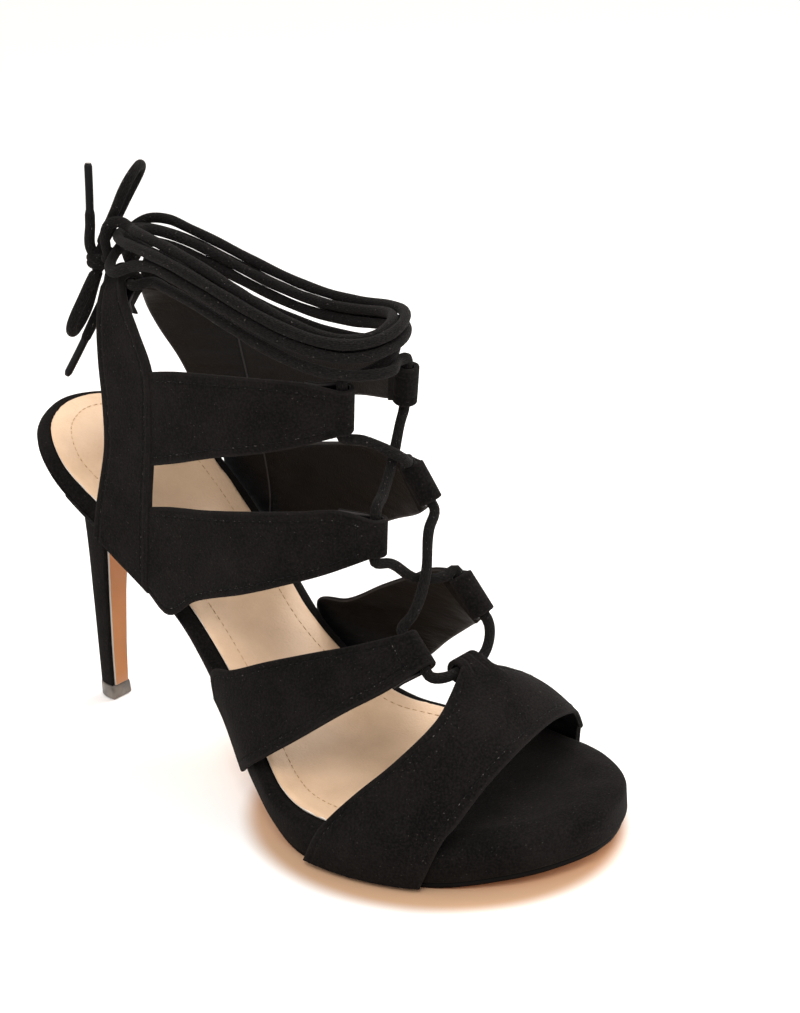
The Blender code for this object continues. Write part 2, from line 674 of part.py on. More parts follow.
def wrap_level(travel, tunnel_travel, tunnel_level):
    """The level of one end's turns: down to the tunnel on the first half turn, then steadily up."""
    steady = LOWEST_TURN + TURN_RISE * travel / 360
    if travel < tunnel_travel[0]:
        start = LOWEST_TURN - START_DROP
        return start + (tunnel_level - start) * ease((travel - WRAP_START) / (tunnel_travel[0] - WRAP_START))
    return tunnel_level + (steady - tunnel_level) * ease((travel - tunnel_travel[1]) / CLIMB)


def spine_pass(turn):
    """How much the turn that lies over the top of the outer spine is moved there, from 0 to 1."""
    return ease(1 - abs(turn) / SPINE_PASS["reach"])


def wrap_points(sense, tunnel, top, tail):
    """The turns of one end of the lace, from the front of the ankle to the knot behind it.

    sense is 1 for the end that starts towards the inner side, and -1 for the other. On its first
    half turn it runs through the tunnel at the top of a spine.
    """
    points = []
    inside_tunnel = tunnel_line(tunnel, False)
    mouths = sorted((sense * angle - 180) % 360 for angle in top["angles"])
    start = int(WRAP_START / RING_STEP)
    end = int((HALF_TURNS * 180 - WRAP_END) / RING_STEP)
    for k in range(start, end + 1):
        travel = k * RING_STEP
        if mouths[0] - RING_STEP < travel < mouths[1] + RING_STEP:
            points += inside_tunnel
            inside_tunnel = []
            continue
        layer = LAYER_STEP * (2 * ease((travel - WRAP_START) / LAYER_START) - 1)
        level = wrap_level(travel, mouths, top["level"])
        over = spine_pass(travel - 180 - SPINE_PASS["turn"]) if sense > 0 else 0.0
        points.append(ring_point(180 + sense * travel, level + SPINE_PASS["level"] * over,
                                 sense * layer + SPINE_PASS["radial"] * over))
    return points + [ring_point(*row) for row in tail] + [np.add(KNOT, TAIL_ENDS[sense])]


def crossing(first, second):
    """Where two straight runs of the lace pass each other, and the direction out of the instep there."""
    along, other, apart = first[1] - first[0], second[1] - second[0], first[0] - second[0]
    shared = along @ other
    spread = (along @ along) * (other @ other) - shared ** 2
    place = first[0] + along * (shared * (other @ apart) - (other @ other) * (along @ apart)) / spread
    passed = second[0] + other * ((along @ along) * (other @ apart) - shared * (along @ apart)) / spread
    out = unit(np.cross(along, other))
    return (place + passed) / 2, out * np.sign(out[1])


def slack(mouth, middle, other_mouth):
    """A run of lace between two tunnels, which turns soon after each mouth."""
    return [mouth + (middle - mouth) * MOUTH_TURN, middle, other_mouth + (middle - other_mouth) * MOUTH_TURN]


def front_points(outer, inner, tab, start, end):
    """The lace down the instep and up again: through the straps' tunnels, crossing twice, and the tab.

    outer and inner each give the tunnels of the top, middle and front strap, from their upper end.
    """
    (top_out, middle_out, front_out), (top_in, middle_in, front_in) = outer, inner
    high, high_out = crossing((top_out[-1], middle_in[0]), (top_in[-1], middle_out[0]))
    low, low_out = crossing((middle_in[-1], front_out[0]), (middle_out[-1], front_in[0]))
    high += HIGH_CROSSING_MOVE
    low += LOW_CROSSING_MOVE
    return [*start, *tunnel_line(top_out),
            *slack(top_out[-1], high + high_out * LACE_SIDE_STEP, middle_in[0]), *tunnel_line(middle_in),
            *slack(middle_in[-1], low + low_out * LACE_SIDE_STEP, front_out[0]), *tunnel_line(front_out),
            *tunnel_line(tab), *tunnel_line(front_in, False),
            *slack(front_in[0], low - low_out * LACE_SIDE_STEP, middle_out[-1]),
            *tunnel_line(middle_out, False),
            *slack(middle_out[0], high - high_out * LACE_SIDE_STEP, top_in[-1]),
            *tunnel_line(top_in, False), *end]


def lead_in(wrap):
    """The end of the front lace that meets the first point of a wound one, face to face."""
    way = unit(wrap[1] - wrap[0])
    return [wrap[0] - way * FIT_GAP, wrap[0] - way * FRONT_LACE_STEP]


def cord_object(name, points, material, collection, shoe):
    """A round lace along a line of points, with closed ends."""
    curve = bpy.data.curves.new(name, "CURVE")
    curve.dimensions = "3D"
    curve.bevel_depth = CORD_DIAMETER / 2 * MM
    curve.bevel_resolution = 2
    curve.use_fill_caps = True
    spline = curve.splines.new("POLY")
    spline.points.add(len(points) - 1)
    for target, point in zip(spline.points, to_metres(points)):
        target.co = (*point, 1.0)
    return add_object(name, curve, material, collection, shoe)


def knot_mesh():
    """The tied middle of the bow."""
    mesh = bmesh.new()
    bmesh.ops.create_uvsphere(mesh, u_segments=12, v_segments=8, radius=1.0)
    bmesh.ops.scale(mesh, verts=mesh.verts, vec=[radius * MM for radius in KNOT_RADII])
    bmesh.ops.translate(mesh, verts=mesh.verts, vec=to_metres([KNOT])[0])
    return closed_mesh("lace_knot", mesh)


# ---------------------------------------------------------------- the shoe

def main():
    for item in list(bpy.data.objects):
        bpy.data.objects.remove(item, do_unlink=True)
    collection = bpy.data.collections.new("lace_up_sandal")
    bpy.context.scene.collection.children.link(collection)
    shoe = bpy.data.objects.new("shoe", None)
    collection.objects.link(shoe)

    suede = make_material("black_suede", (0.016, 0.015, 0.016), 0.95)
    sock = make_material("tan_sock", (0.62, 0.42, 0.26), 0.5)
    sole = make_material("outsole", (0.45, 0.25, 0.11), 0.4)
    breast = make_material("tan_breast", (0.55, 0.30, 0.13), 0.25)
    tip = make_material("top_piece", (0.03, 0.03, 0.03), 0.5)
    lace = make_material("black_lace", (0.018, 0.017, 0.018), 0.9)

    for name, data, material in [
            ("platform", platform_mesh(), suede), ("insole", insole_mesh(), sock),
            ("outsole", outsole_mesh(), sole), ("heel", heel_mesh(), suede),
            ("top_piece", top_piece_mesh(), tip), ("lace_knot", knot_mesh(), lace)]:
        add_object(name, data, material, collection, shoe)
    sheet_object("heel_breast", [breast_rows()], BREAST_THICKNESS, breast, collection, shoe)

    outer, outer_tunnels = quarter(-1, OUTER_SPINE, OUTER_TOP, (OUTER_TOP_STRAP, OUTER_MIDDLE_STRAP))
    inner, inner_tunnels = quarter(1, INNER_SPINE, INNER_TOP, (INNER_TOP_STRAP, INNER_MIDDLE_STRAP))
    outer_front, outer_front_tunnel = front_strap(-1, OUTER_FRONT_STRAP)
    inner_front, inner_front_tunnel = front_strap(1, INNER_FRONT_STRAP)
    toe_band, tab_tunnel = vamp()
    for name, grids in [
            ("quarter_outer", outer), ("quarter_inner", inner), ("front_strap_outer", [outer_front]),
            ("front_strap_inner", [inner_front]), ("vamp", toe_band)]:
        sheet_object(name, grids, WALL, suede, collection, shoe)

    inner_wrap = wrap_points(1, inner_tunnels[0], INNER_TOP, INNER_TAIL)
    outer_wrap = wrap_points(-1, outer_tunnels[0], OUTER_TOP, OUTER_TAIL)
    start = lead_in(inner_wrap) + [ring_point(*row) for row in INNER_START[::-1]]
    end = [ring_point(*row) for row in OUTER_START] + lead_in(outer_wrap)[::-1]
    front = front_points((*outer_tunnels[1:], outer_front_tunnel),
                         (*inner_tunnels[1:], inner_front_tunnel), tab_tunnel, start, end)
    cord_object("ankle_lace_inner", inner_wrap, lace, collection, shoe)
    cord_object("ankle_lace_outer", outer_wrap, lace, collection, shoe)
    cord_object("front_lace", even_points(smooth_points(front, 6), FRONT_LACE_STEP), lace, collection, shoe)
    for name, points in [
            ("lace_loop_upper", bow_loop(*UPPER_LOOP)), ("lace_loop_lower", bow_loop(*LOWER_LOOP)),
            ("lace_end_upper", UPPER_END), ("lace_end_lower", LOWER_END)]:
        cord_object(name, smooth_points(points, 2), lace, collection, shoe)


main()
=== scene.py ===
"""The finished look of a black suede lace-up sandal for the right foot: open toe, open back, high heel.

The pieces are worked out in the shoe's own sizes, as its CAD solids are: millimetres to the side
(positive towards the inner, medial side), forward (from the back of the heel seat towards the toe) and
up from the floor. to_metres() turns them into the frame's metres, toe towards -Y, outer side at -X.
"""
import math

import bmesh
import bpy
import numpy as np
from mathutils import Matrix, Vector, noise


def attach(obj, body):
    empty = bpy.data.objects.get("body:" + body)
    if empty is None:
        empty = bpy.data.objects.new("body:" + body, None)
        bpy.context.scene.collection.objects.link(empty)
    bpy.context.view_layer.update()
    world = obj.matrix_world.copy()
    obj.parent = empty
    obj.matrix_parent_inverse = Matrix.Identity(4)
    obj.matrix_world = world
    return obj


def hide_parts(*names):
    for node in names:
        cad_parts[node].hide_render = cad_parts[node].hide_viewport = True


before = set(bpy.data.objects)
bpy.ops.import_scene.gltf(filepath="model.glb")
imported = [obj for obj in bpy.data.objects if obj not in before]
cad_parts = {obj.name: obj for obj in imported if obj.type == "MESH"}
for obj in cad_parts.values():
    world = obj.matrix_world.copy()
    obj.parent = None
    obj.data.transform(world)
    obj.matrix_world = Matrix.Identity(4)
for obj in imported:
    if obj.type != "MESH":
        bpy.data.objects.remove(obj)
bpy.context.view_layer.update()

MM = 0.001

# The camera: place in metres, turn round the shoe, height and roll in degrees, lens in mm
CAMERA_PLACE = (-0.39289, -0.39224, 0.28914)
CAMERA_AZIMUTH = -48.223
CAMERA_ELEVATION = 20.070
CAMERA_ROLL = -4.345
CAMERA_LENS = 69.585

# Detail of the meshes
CURVE_STEPS = 8             # steps between two rows of a table
SPINE_COLUMNS = 16          # spans across a spine or a strap
VAMP_COLUMNS = 20
FOLD_STEPS = 16
HEEL_SIDES = 40             # steps round the back of the heel
STEM_STEPS = 4              # sections between two rows of the stem
HEEL_FLARE_STEPS = 20       # sections between the stem and the seat
RING_SPANS = 10             # steps round the platform's edge between two rows of the sole's outline
STRAP_EDGE_STEPS = 8        # the same where the straps' lower ends follow it
SIDE_STEPS = 12             # where the sock, its stitches and the outsole do
SOCK_EDGE_STEPS = 24        # and where the distance from the sock's edge is measured
RIM_STEPS = 4               # steps round the cut edge of a strap
TUBE_SIDES = 16
ROUTE_STEPS = 8             # steps between two points of the lace's way, and of the bow's
BOW_STEPS = 10
KNOT_STEPS = 6
LACE_POINT_STEP = 1.0       # mm between the rings of the lace's mesh, and of the knot's strands
KNOT_POINT_STEP = 0.6
OUTSOLE_RIBS = 120
SOCK_RIBS = 150
SOCK_COLUMNS = 56
BREAST_COLUMNS = 12

# Driving sizes, mm
MIDDLE_SIDE = -2.67         # the middle of the finished shoe's box
MIDDLE_FORWARD = 107.8
FIT_GAP = 0.3               # clearance between pieces that touch on the real shoe
SOLE_GAP = 0.5              # the same where two curved layers lie on each other
WALL = 1.5                  # upper: suede and lining together
CORD_DIAMETER = 3.2
TUNNEL_BORE = 4.3           # inside of the folded tunnel at a strap's end
TUNNEL_RADIUS = (TUNNEL_BORE + WALL) / 2
OUTSOLE_THICKNESS = 1.6
OUTSOLE_INSET = 1.2
SOCK_INSET = 4.7            # from the sole's edge to the edge of the padded sock
SOCK_THICKNESS = 1.2
SOCK_FRONT = 177.0          # the sock ends under the vamp
HEEL_FRONT = 30.0           # where the heel's front face meets the sole
TOP_PIECE_HEIGHT = 5.0
HEEL_SEAT_INSET = 2.6       # from the sole's edge to the top of the heel
HEEL_FLARE_CURVE = 1.5      # how late the stem spreads to the seat
HEEL_FULLNESS = 0.8         # below 1 the back of the heel is fuller than an ellipse
BREAST_THICKNESS = 0.6      # the cover on the heel's front face
BREAST_INSET = 0.7
BREAST_SINK = 0.3           # how far it reaches into the heel
BREAST_RIM = 0.2
STRAP_FOLD = 205.0          # degrees that a strap's end turns round the lace
TAB_FOLD = 232.0
FOLD_CLEARANCE = 0.4        # between the folded-back end and the strap

# The edge of the sole in plan: half-widths on the outer and inner sides
OUTLINE = [
    # forward, outer, inner
    (1.2, 0.0, 0.0),
    (8.5, 18.2, 20.3),
    (27.0, 29.8, 29.7),
    (48.0, 26.8, 31.5),
    (69.5, 22.6, 28.5),
    (90.5, 25.9, 24.9),
    (110.4, 35.7, 27.9),
    (130.0, 44.7, 35.5),
    (150.6, 47.3, 41.5),
    (171.7, 43.7, 40.6),
    (191.7, 34.0, 34.6),
    (207.6, 18.3, 21.3),
    (214.4, 0.0, 0.0),
]

# The sole from the side: the top of the footbed and the underside of the platform
PROFILE = [
    # forward, footbed, underside
    (0.0, 109.5, 105.3),
    (22.0, 99.6, 95.6),
    (48.0, 77.3, 73.3),
    (70.0, 55.4, 51.0),
    (80.0, 45.7, 39.4),
    (90.0, 36.6, 28.0),
    (110.0, 21.6, 11.4),
    (125.0, 14.6, 5.6),
    (140.0, 12.6, 2.1),
    (160.0, 12.8, 2.1),
    (180.0, 14.0, 2.1),
    (200.0, 15.6, 4.4),
    (216.0, 17.7, 6.6),
]

# The heel's stem in level sections: its back, its front (breast) and half its width
STEM = [
    # up, back, front, half_width
    (5.3, 2.0, 10.4, 3.6),
    (20.0, 2.8, 12.0, 3.9),
    (40.0, 3.9, 14.8, 4.4),
    (58.0, 4.9, 18.0, 5.2),
    (73.0, 5.4, 21.5, 6.6),
]

# A strap's sections: one edge, then the other edge, each as out (from the middle plane), forward, up.
# A quarter's spine rises from the sole beside the heel; its back edge comes first.
OUTER_SPINE = [
    (28.8, 46.5, 87.0, 27.0, 65.5, 70.0),
    (28.2, 49.0, 95.0, 28.3, 71.0, 90.5),
    (27.8, 53.0, 107.0, 28.6, 74.5, 104.5),
    (26.8, 53.5, 120.0, 28.3, 77.0, 120.0),
    (24.8, 52.0, 134.0, 27.8, 77.5, 134.0),
    (22.3, 51.0, 146.5, 25.2, 70.6, 145.0),
    (19.3, 50.8, 154.5, 22.4, 64.0, 153.5),
]
INNER_SPINE = [
    (33.2, 39.5, 87.0, 32.0, 62.0, 71.0),
    (31.0, 37.5, 97.0, 31.0, 62.0, 92.0),
    (28.5, 35.0, 107.0, 30.2, 60.5, 107.0),
    (25.2, 31.5, 119.5, 29.6, 58.5, 121.0),
    (20.6, 28.6, 130.0, 28.0, 57.0, 134.0),
    (15.8, 29.0, 139.5, 23.5, 52.5, 144.0),
    (8.8, 35.6, 148.2, 18.0, 50.0, 149.0),
]

# A quarter's top and middle strap start between these rows of its spine
STRAP_STARTS = ((5, 3), (2, 0))

# The cross straps, from the spine to their ends; the top edge comes first
OUTER_TOP_STRAP = [
    (28.8, 85.0, 135.4, 28.8, 82.0, 106.4),
    (28.2, 100.0, 136.5, 28.6, 98.0, 110.5),
    (25.5, 118.0, 136.8, 26.0, 115.5, 114.0),
    (19.5, 132.0, 135.6, 20.3, 127.0, 116.3),
    (14.0, 140.5, 132.8, 12.0, 137.0, 118.8),
]
OUTER_MIDDLE_STRAP = [
    (28.5, 79.0, 92.0, 25.6, 68.5, 54.0),
    (28.6, 95.0, 94.0, 26.4, 84.0, 61.5),
    (27.5, 113.0, 96.5, 27.6, 106.0, 69.0),
    (24.5, 129.0, 98.5, 26.5, 124.0, 75.5),
    (19.5, 142.0, 99.5, 21.5, 139.0, 81.0),
    (15.2, 149.9, 96.6, 15.9, 149.0, 85.2),
]
INNER_TOP_STRAP = [
    (29.8, 70.0, 133.6, 30.2, 72.0, 108.8),
    (28.8, 92.0, 133.3, 29.0, 93.0, 113.2),
    (25.0, 113.0, 132.9, 25.8, 112.0, 117.0),
    (20.2, 129.5, 133.7, 21.3, 126.5, 119.2),
    (15.9, 142.6, 133.6, 16.9, 139.8, 122.0),
]
INNER_MIDDLE_STRAP = [
    (30.3, 75.0, 94.3, 29.6, 68.5, 54.0),
    (29.8, 90.0, 97.3, 29.3, 84.0, 61.0),
    (27.0, 106.0, 100.3, 28.5, 103.0, 70.0),
    (23.0, 121.0, 102.8, 25.5, 121.0, 78.0),
    (17.8, 132.5, 104.3, 20.0, 137.0, 85.0),
    (14.2, 142.8, 104.4, 15.2, 148.6, 93.6),
]
OUTER_FRONT_STRAP = [
    (28.2, 98.0, 42.8, 38.6, 121.5, 24.8),
    (27.6, 114.0, 49.2, 36.6, 136.0, 34.7),
    (24.6, 130.0, 54.6, 31.2, 148.0, 42.9),
    (19.6, 143.0, 58.2, 23.8, 158.0, 49.3),
    (11.8, 154.8, 61.6, 14.0, 163.6, 54.0),
]
INNER_FRONT_STRAP = [
    (26.0, 97.0, 46.0, 34.8, 121.0, 27.0),
    (25.6, 113.0, 54.2, 32.6, 134.0, 37.5),
    (23.0, 129.0, 62.2, 28.2, 147.0, 47.0),
    (18.6, 142.0, 68.8, 21.8, 156.5, 53.8),
    (16.8, 156.2, 71.2, 17.4, 164.0, 60.4),
]

# The vamp from the outer side over the toes to the inner side: its back edge, then its front edge
VAMP = [
    # side, forward, up, side, forward, up
    (-42.8, 160.0, 25.5, -35.8, 190.6, 21.5),
    (-35.5, 169.0, 34.8, -27.5, 193.4, 28.8),
    (-23.0, 174.0, 43.0, -15.0, 193.7, 32.8),
    (-7.5, 170.6, 47.6, -3.0, 192.8, 34.4),
    (6.5, 170.6, 47.8, 9.0, 191.2, 34.2),
    (19.0, 170.0, 41.2, 20.5, 188.6, 31.4),
    (29.6, 165.5, 34.0, 30.3, 184.0, 26.0),
    (37.2, 156.5, 25.2, 37.0, 181.0, 18.0),
]
VAMP_TAB_ROWS = (3, 4)      # the rows of VAMP between which the centre tab rises
VAMP_BULGE = 1.6            # how far the vamp's middle stands above a straight line across it
TAB_SIDES = (-4.4, 4.9)
TAB_FORWARD = 169.2
TAB_UP = 51.6

# Where each piece of the upper meets the sole's edge: forward of its two lower corners
QUARTER_ROOT = {-1: (43.5, 61.5), 1: (40.5, 60.0)}
FRONT_STRAP_ROOT = {-1: (87.5, 105.5), 1: (84.0, 107.0)}
FRONT_STRAP_HIGH_ROOT = {-1: (88.0, 114.5), 1: (84.0, 112.0)}
VAMP_ROOT = {-1: (142.0, 180.5), 1: (139.0, 175.0)}
VAMP_HIGH_ROOT = {-1: (150.0, 187.0), 1: (147.0, 177.5)}

# The ring of lace around the ankle: an egg shape, narrower behind, that rises and falls as it goes round
RING_MIDDLE = 96.3
RING_HALF_LENGTH = 49.3
RING_HALF_WIDTH = 25.4
RING_TAPER = 0.15           # share by which its back is narrower and its front wider
RING_HEIGHT = 154.7
RING_BACK_RISE = 11.8
RING_OUTER_RISE = 7.3
RING_WAVES = (0.9, 1.4, -2.7)   # cosine of the double turn, sine of the double and of the triple turn
RING_STEP = 12.0            # degrees of turn between the points of the wound lace
TURN_RISE = 3.9             # from one turn of an end to its next, one above the other
LOWEST_TURN = -5.0          # the level at which the turns start
START_DROP = 1.3            # how much lower the first of them comes off the instep
LAYER_STEP = 1.8            # the inner end's turns lie this far outside the ring, the outer end's inside
LAYER_START = 90.0          # degrees of turn in which each end gets into its layer
HALF_TURNS = 5              # half turns that each end of the lace makes
WRAP_START = 24.0           # degrees past the front at which the ring of lace starts
WRAP_END = 36.0             # and before the back at which it leaves the ring for the knot
CLIMB = 30.0                # degrees of turn between a tunnel and the level over the other one

# The folded tops of the spines hold the lowest turn: the angles of their two edges, and where the
# lace runs in them against the ring
OUTER_TOP = {"angles": (27.0, 48.0), "level": -9.5, "radial": 1.2}
INNER_TOP = {"angles": (-34.0, -8.0), "level": -9.7, "radial": 1.5}

# One turn of the lace comes down over the top of the outer spine
SPINE_PASS = {"turn": 44.0, "reach": 24.0, "level": -4.4, "radial": 5.0}

LACE_SIDE_STEP = 1.9        # how far each of two crossing laces moves aside
HIGH_CROSSING_MOVE = (1.4, 1.8, -2.8)   # the slack lace crosses a little off the straight runs
LOW_CROSSING_MOVE = (-0.2, 0.2, -3.6)
MOUTH_REACH = 1.9           # how far the lace runs straight past a tunnel's mouth
MOUTH_TURN = 0.36           # and the share of its way to a crossing in which it turns there

# The bow behind the ankle: side, forward, up
KNOT = (-10.5, 41.2, 160.8)
KNOT_WRAP = {"turns": 2, "steps": 60, "start": 0.6, "side": 3.3, "forward": 2.6, "low": -1.5, "rise": 3.0}
UPPER_LOOP = [(-9.9, 41.3, 165.2), (-2.5, 54.3, 188.8), (-7.5, 39.4, 164.7)]    # start, tip, finish
LOWER_LOOP = [(-13.0, 40.6, 157.0), (-18.0, 32.6, 138.4), (-10.4, 39.0, 156.8)]
LOOP_TURN = 6.4             # radius of a loop's turn at its tip, two cords
LOOP_STEP = 20.0            # degrees between the points of that turn
LOOP_PAST = 10.0            # by which it goes on past a half turn, at both ends
UPPER_END = [(-13.0, 39.9, 164.4), (-13.1, 41.1, 172.0), (-12.6, 41.9, 181.0), (-12.0, 42.4, 190.5)]
LOWER_END = [(-6.6, 41.0, 157.2), (-5.7, 35.5, 148.0), (-7.9, 31.0, 139.5), (-10.6, 26.0, 130.5),
             (-12.6, 19.8, 121.2)]

# How the two ends of the lace come down from the highest turn to the knot, on the ring
INNER_TAIL = [
    # turn, level, radial
    (-24.0, 4.8, 2.2),
    (-13.0, 3.2, 5.0),
    (-4.0, 0.0, 5.6),
    (2.0, -4.0, 5.9),
]
OUTER_TAIL = [
    (31.0, 5.8, 0.4),
    (28.0, 5.2, 4.0),
    (26.5, 2.2, 5.6),
    (25.5, -1.6, 5.8),
    (24.0, -5.4, 5.8),
]
TAIL_ENDS = {1: (5.5, 0.2, 0.4), -1: (-2.9, 4.4, 0.9)}      # from the knot's middle

# How each end of the lace crosses the front of the ankle before its first turn, on the ring
INNER_START = [(165.0, -7.0, -1.8), (180.0, -6.4, -1.8)]
OUTER_START = [(197.0, -8.6, -0.8), (180.0, -7.6, 1.9)]

# Finishing sizes, mm
RIM_ROUND = 0.45            # how far a wall is rounded at its cut edge
SUEDE_HALF = 0.75           # a strap's faces from its middle
SPINE_OUTER = 1.25          # a spine is folded double, so it stands proud of the straps
SPINE_INNER = 0.95
STRAP_TUCK = 3              # spans by which a strap starts under the spine's front edge
WAVER = 0.22                # how uneven the leather is
WAVER_SCALE = 0.045         # and over what length, as turns to the mm
WAVER_SEED = 3              # which unevenness it is
SEAM_INSET = 2.9            # the stitches' distance from a strap's edge
END_SEAM = 5.6              # and from a strap's end, across it
FAR_FROM_EDGE = 50.0        # what is noted for a point with no cut edge near it
TAB_SEAM_GAPS = (3, 2)      # rows of the vamp between the tab and the seams on either side of it
SEAM_START = 5              # the row of a strap at which its seams start
SEAM_POINTS = 12            # points of a seam across a strap
STITCH_PITCH = 2.5
STITCH_LENGTH = 1.9
STITCH_RADIUS = 0.17
LACE_RIBS = 20              # ribs round the lace
LACE_KNIT = 5.0             # rows of knitting in a length of lace as long as it is round
LACE_WAVES = [              # how uneven the lace is: share of its radius, turns to the mm, start
    (0.035, 0.37, 0.0),
    (0.03, 0.113, 1.0),
]
CORD_END = 0.5              # radii from a cord's end within which it is drawn in
CORD_END_DRAWN = 0.28       # and the share by which it is
TOE_RIDGE_FROM = 150.0      # forward of this the top of the platform gets its toe shape
TOE_RIDGE_RUN = 26.0
PLATFORM_BASE = [           # inset and height above the underside
    (1.4, -0.25),
    (0.7, -0.05),
    (0.25, 0.35),
    (0.0, 0.9),
]
PLATFORM_RIM = [            # inset, then the height against the footbed behind and at the toe
    (0.0, -2.4, -3.6),
    (0.25, -1.5, -2.8),
    (0.8, -0.75, -2.1),
    (1.6, -0.2, -1.6),
    (2.6, 0.05, -1.2),
    (3.4, -0.12, -0.9),
    (4.2, -0.2, -0.65),
    (5.4, 0.05, -0.35),
    (7.0, 0.1, -0.05),
    (8.6, 0.1, 0.15),
    (10.0, 0.1, 0.05),
    (11.6, 0.1, -0.15),
]
SOCK_LIFT = 0.2             # the sock's edge above the footbed
SOCK_BASE = 0.15            # and its underside
SOCK_ROUND = 1.7            # how far inside its edge the sock rounds down
SOCK_SLANT = 17.0           # how much shorter the sock is on its inner side, under the vamp
SOCK_SLANT_FROM = 120.0
SOCK_SEAM_INSET = 6.3       # from the sock's edge to its stitches
SOCK_SEAM_END = 2.0         # the stitches stop this far before the sock's front edge
SOCK_SEAM_SINK = 0.1        # and lie this far down in their channel
SOCK_CHANNEL_WIDTH = 0.7
SOCK_CHANNEL_DEPTH = 0.22
SEAT_SINK = 0.1             # pieces under the platform reach this far short of its underside
OUTSOLE_RIM = [(0.5, 0.0), (0.12, 0.15), (0.0, 0.5)]    # inset and height of its painted edge's rows
TOP_PIECE_LAYERS = [        # up, and how far it stands out from the stem
    (0.0, -0.1),
    (0.15, 0.25),
    (0.6, 0.45),
    (2.5, 0.42),
    (TOP_PIECE_HEIGHT - 0.5, 0.3),
    (TOP_PIECE_HEIGHT - 0.1, 0.2),
    (TOP_PIECE_HEIGHT, -0.2),
]
TAIL_ROWS = (11.0, 7.2, 4.8, 2.4)   # rows of a strap before its fold; the tail is sewn at the first two
TAIL_COUNT = 2
NECK_SWEEP = (0.6, 0.22)    # how far, in rows of the vamp, its back edge sweeps up to the tab
NECK_COLUMNS = 7.0          # and how far across the vamp the sweep reaches
NECK_CURVE = 1.5            # and how hollow it is
TAB_SPARE = 0.03            # the tab's fold stands this much proud of the vamp's faces
STRAP_TUCKS = (1.0, 1.0)    # a strap's first row is this far below the underside, its next over the footbed
VAMP_TUCKS = (0.9, 1.5)
AGLET_LENGTH = 15.5         # the hard tips of the lace
AGLET_RADIUS = 1.25
AGLET_BLEND = 1.2           # in which the lace draws in to the tip
UPPER_END_ROOT = (-11.6, 40.6, 160.6)   # inside the knot
NO_LACE_WAY = (0.3, 0.2, 0.93)          # a direction in which no lace starts

# Places on the inner side of the spines, of the vamp and of the heel's front face
IN_QUARTER = (0.0, RING_MIDDLE, 110.0)
IN_VAMP = (0.0, 150.0, 0.0)
IN_HEEL = (0.0, 0.0, 50.0)
UNDER_TAB = 40.0            # how far below the tab's end such a place is

# Studio, in metres
ROOM_LIGHT = 1.07
ROOM_COLOUR = (1.0, 0.965, 0.94, 1.0)
LAMPS = [
    # name, place, aim, width, power, colour
    ("key", (-0.75, -0.55, 1.1), (0.0, 0.0, 0.08), 0.7, 9.0, (1.0, 0.985, 0.96)),
    ("fill", (0.5, -0.9, 0.7), (0.0, 0.0, 0.06), 0.9, 4.0, (1.0, 0.99, 0.98)),
    ("side", (0.62, -0.1, 0.85), (0.0, 0.05, 0.09), 0.5, 5.0, (1.0, 0.99, 0.97)),
]
FLOOR_HALF = 6.0
FLOOR_DROP = 0.0002         # how far the floor lies below the tip of the heel
FLOOR_COLOUR = (0.97, 0.965, 0.96)
# painted warm reflection and warm shadow of the tan sole, on the floor round the forefoot
PAINTED_SOLE_REFLECTION = (0.56, 0.355, 0.22)
FOREFOOT_SHIFT = (0.07, 0.86, 0.0)      # the forefoot's middle and half sizes, for the painted warm reflection round it
FOREFOOT_SCALE = (21.7, 17.9, 1.0)
PAINTED_REFLECTION_REACH = (1.17, 1.0)    # half sizes at which the painted warm reflection starts and is full

# Colours
SUEDE_COLOURS = ((0.0008, 0.0007, 0.0007), (0.0095, 0.0082, 0.0078))
WORN_SUEDE = (0.014, 0.0125, 0.012)
SUEDE_LINT = (0.075, 0.067, 0.06)
LINING_COLOURS = ((0.0015, 0.0014, 0.0016), (0.005, 0.0047, 0.0051))
# painted highlight along the lining's cut edges
LINING_EDGE_HIGHLIGHT = (0.05, 0.045, 0.044)
RUBBER_COLOURS = ((0.055, 0.048, 0.042), (0.15, 0.128, 0.108))
YARN_COLOURS = ((0.001, 0.0009, 0.0009), (0.0125, 0.0112, 0.011))
YARN_LINT = (0.11, 0.10, 0.095)
LEATHERS = {
    # dark, light, roughness, depth of the grain in mm, gloss, shine
    "aglet_plastic": ((0.003, 0.003, 0.0032), (0.007, 0.0067, 0.007), 0.45, 0.04, 0.0, 0.09),
    "aglet_cut": ((0.16, 0.15, 0.13), (0.24, 0.22, 0.19), 0.5, 0.04, 0.0, 0.4),
    "tan_sock_leather": ((0.52, 0.345, 0.215), (0.74, 0.52, 0.345), 0.38, 0.3, 0.0, 0.4),
    # painted highlight: the sock's cut edge is coloured pale for the highlight along it
    "sock_edge_highlight": ((0.78, 0.72, 0.64), (0.86, 0.80, 0.72), 0.5, 0.05, 0.0, 0.4),
    "tan_breast_leather": ((0.31, 0.110, 0.018), (0.38, 0.140, 0.028), 0.35, 0.03, 0.12, 0.4),
    "tan_outsole_leather": ((0.46, 0.24, 0.105), (0.56, 0.31, 0.14), 0.42, 0.06, 0.0, 0.4),
    "painted_edge": ((0.002, 0.0018, 0.0018), (0.006, 0.0055, 0.0052), 0.6, 0.05, 0.0, 0.06),
    # painted highlight: the breast cover's rim is coloured light grey for the highlight along its edge
    "breast_edge_highlight": ((0.30, 0.27, 0.24), (0.40, 0.37, 0.33), 0.5, 0.03, 0.0, 0.4),
}
THREADS = {
    # dark, light, how much of it is dark
    "black_thread": ((0.004, 0.0037, 0.0037), (0.085, 0.077, 0.07), 0.57),
    "tan_thread": ((0.33, 0.20, 0.11), (0.55, 0.37, 0.22), 0.35),
}


# ---------------------------------------------------------------- curves and tables

def unit(vectors):
    return vectors / np.linalg.norm(vectors, axis=-1, keepdims=True)


def ease(value):
    value = min(max(value, 0.0), 1.0)
    return value * value * (3 - 2 * value)


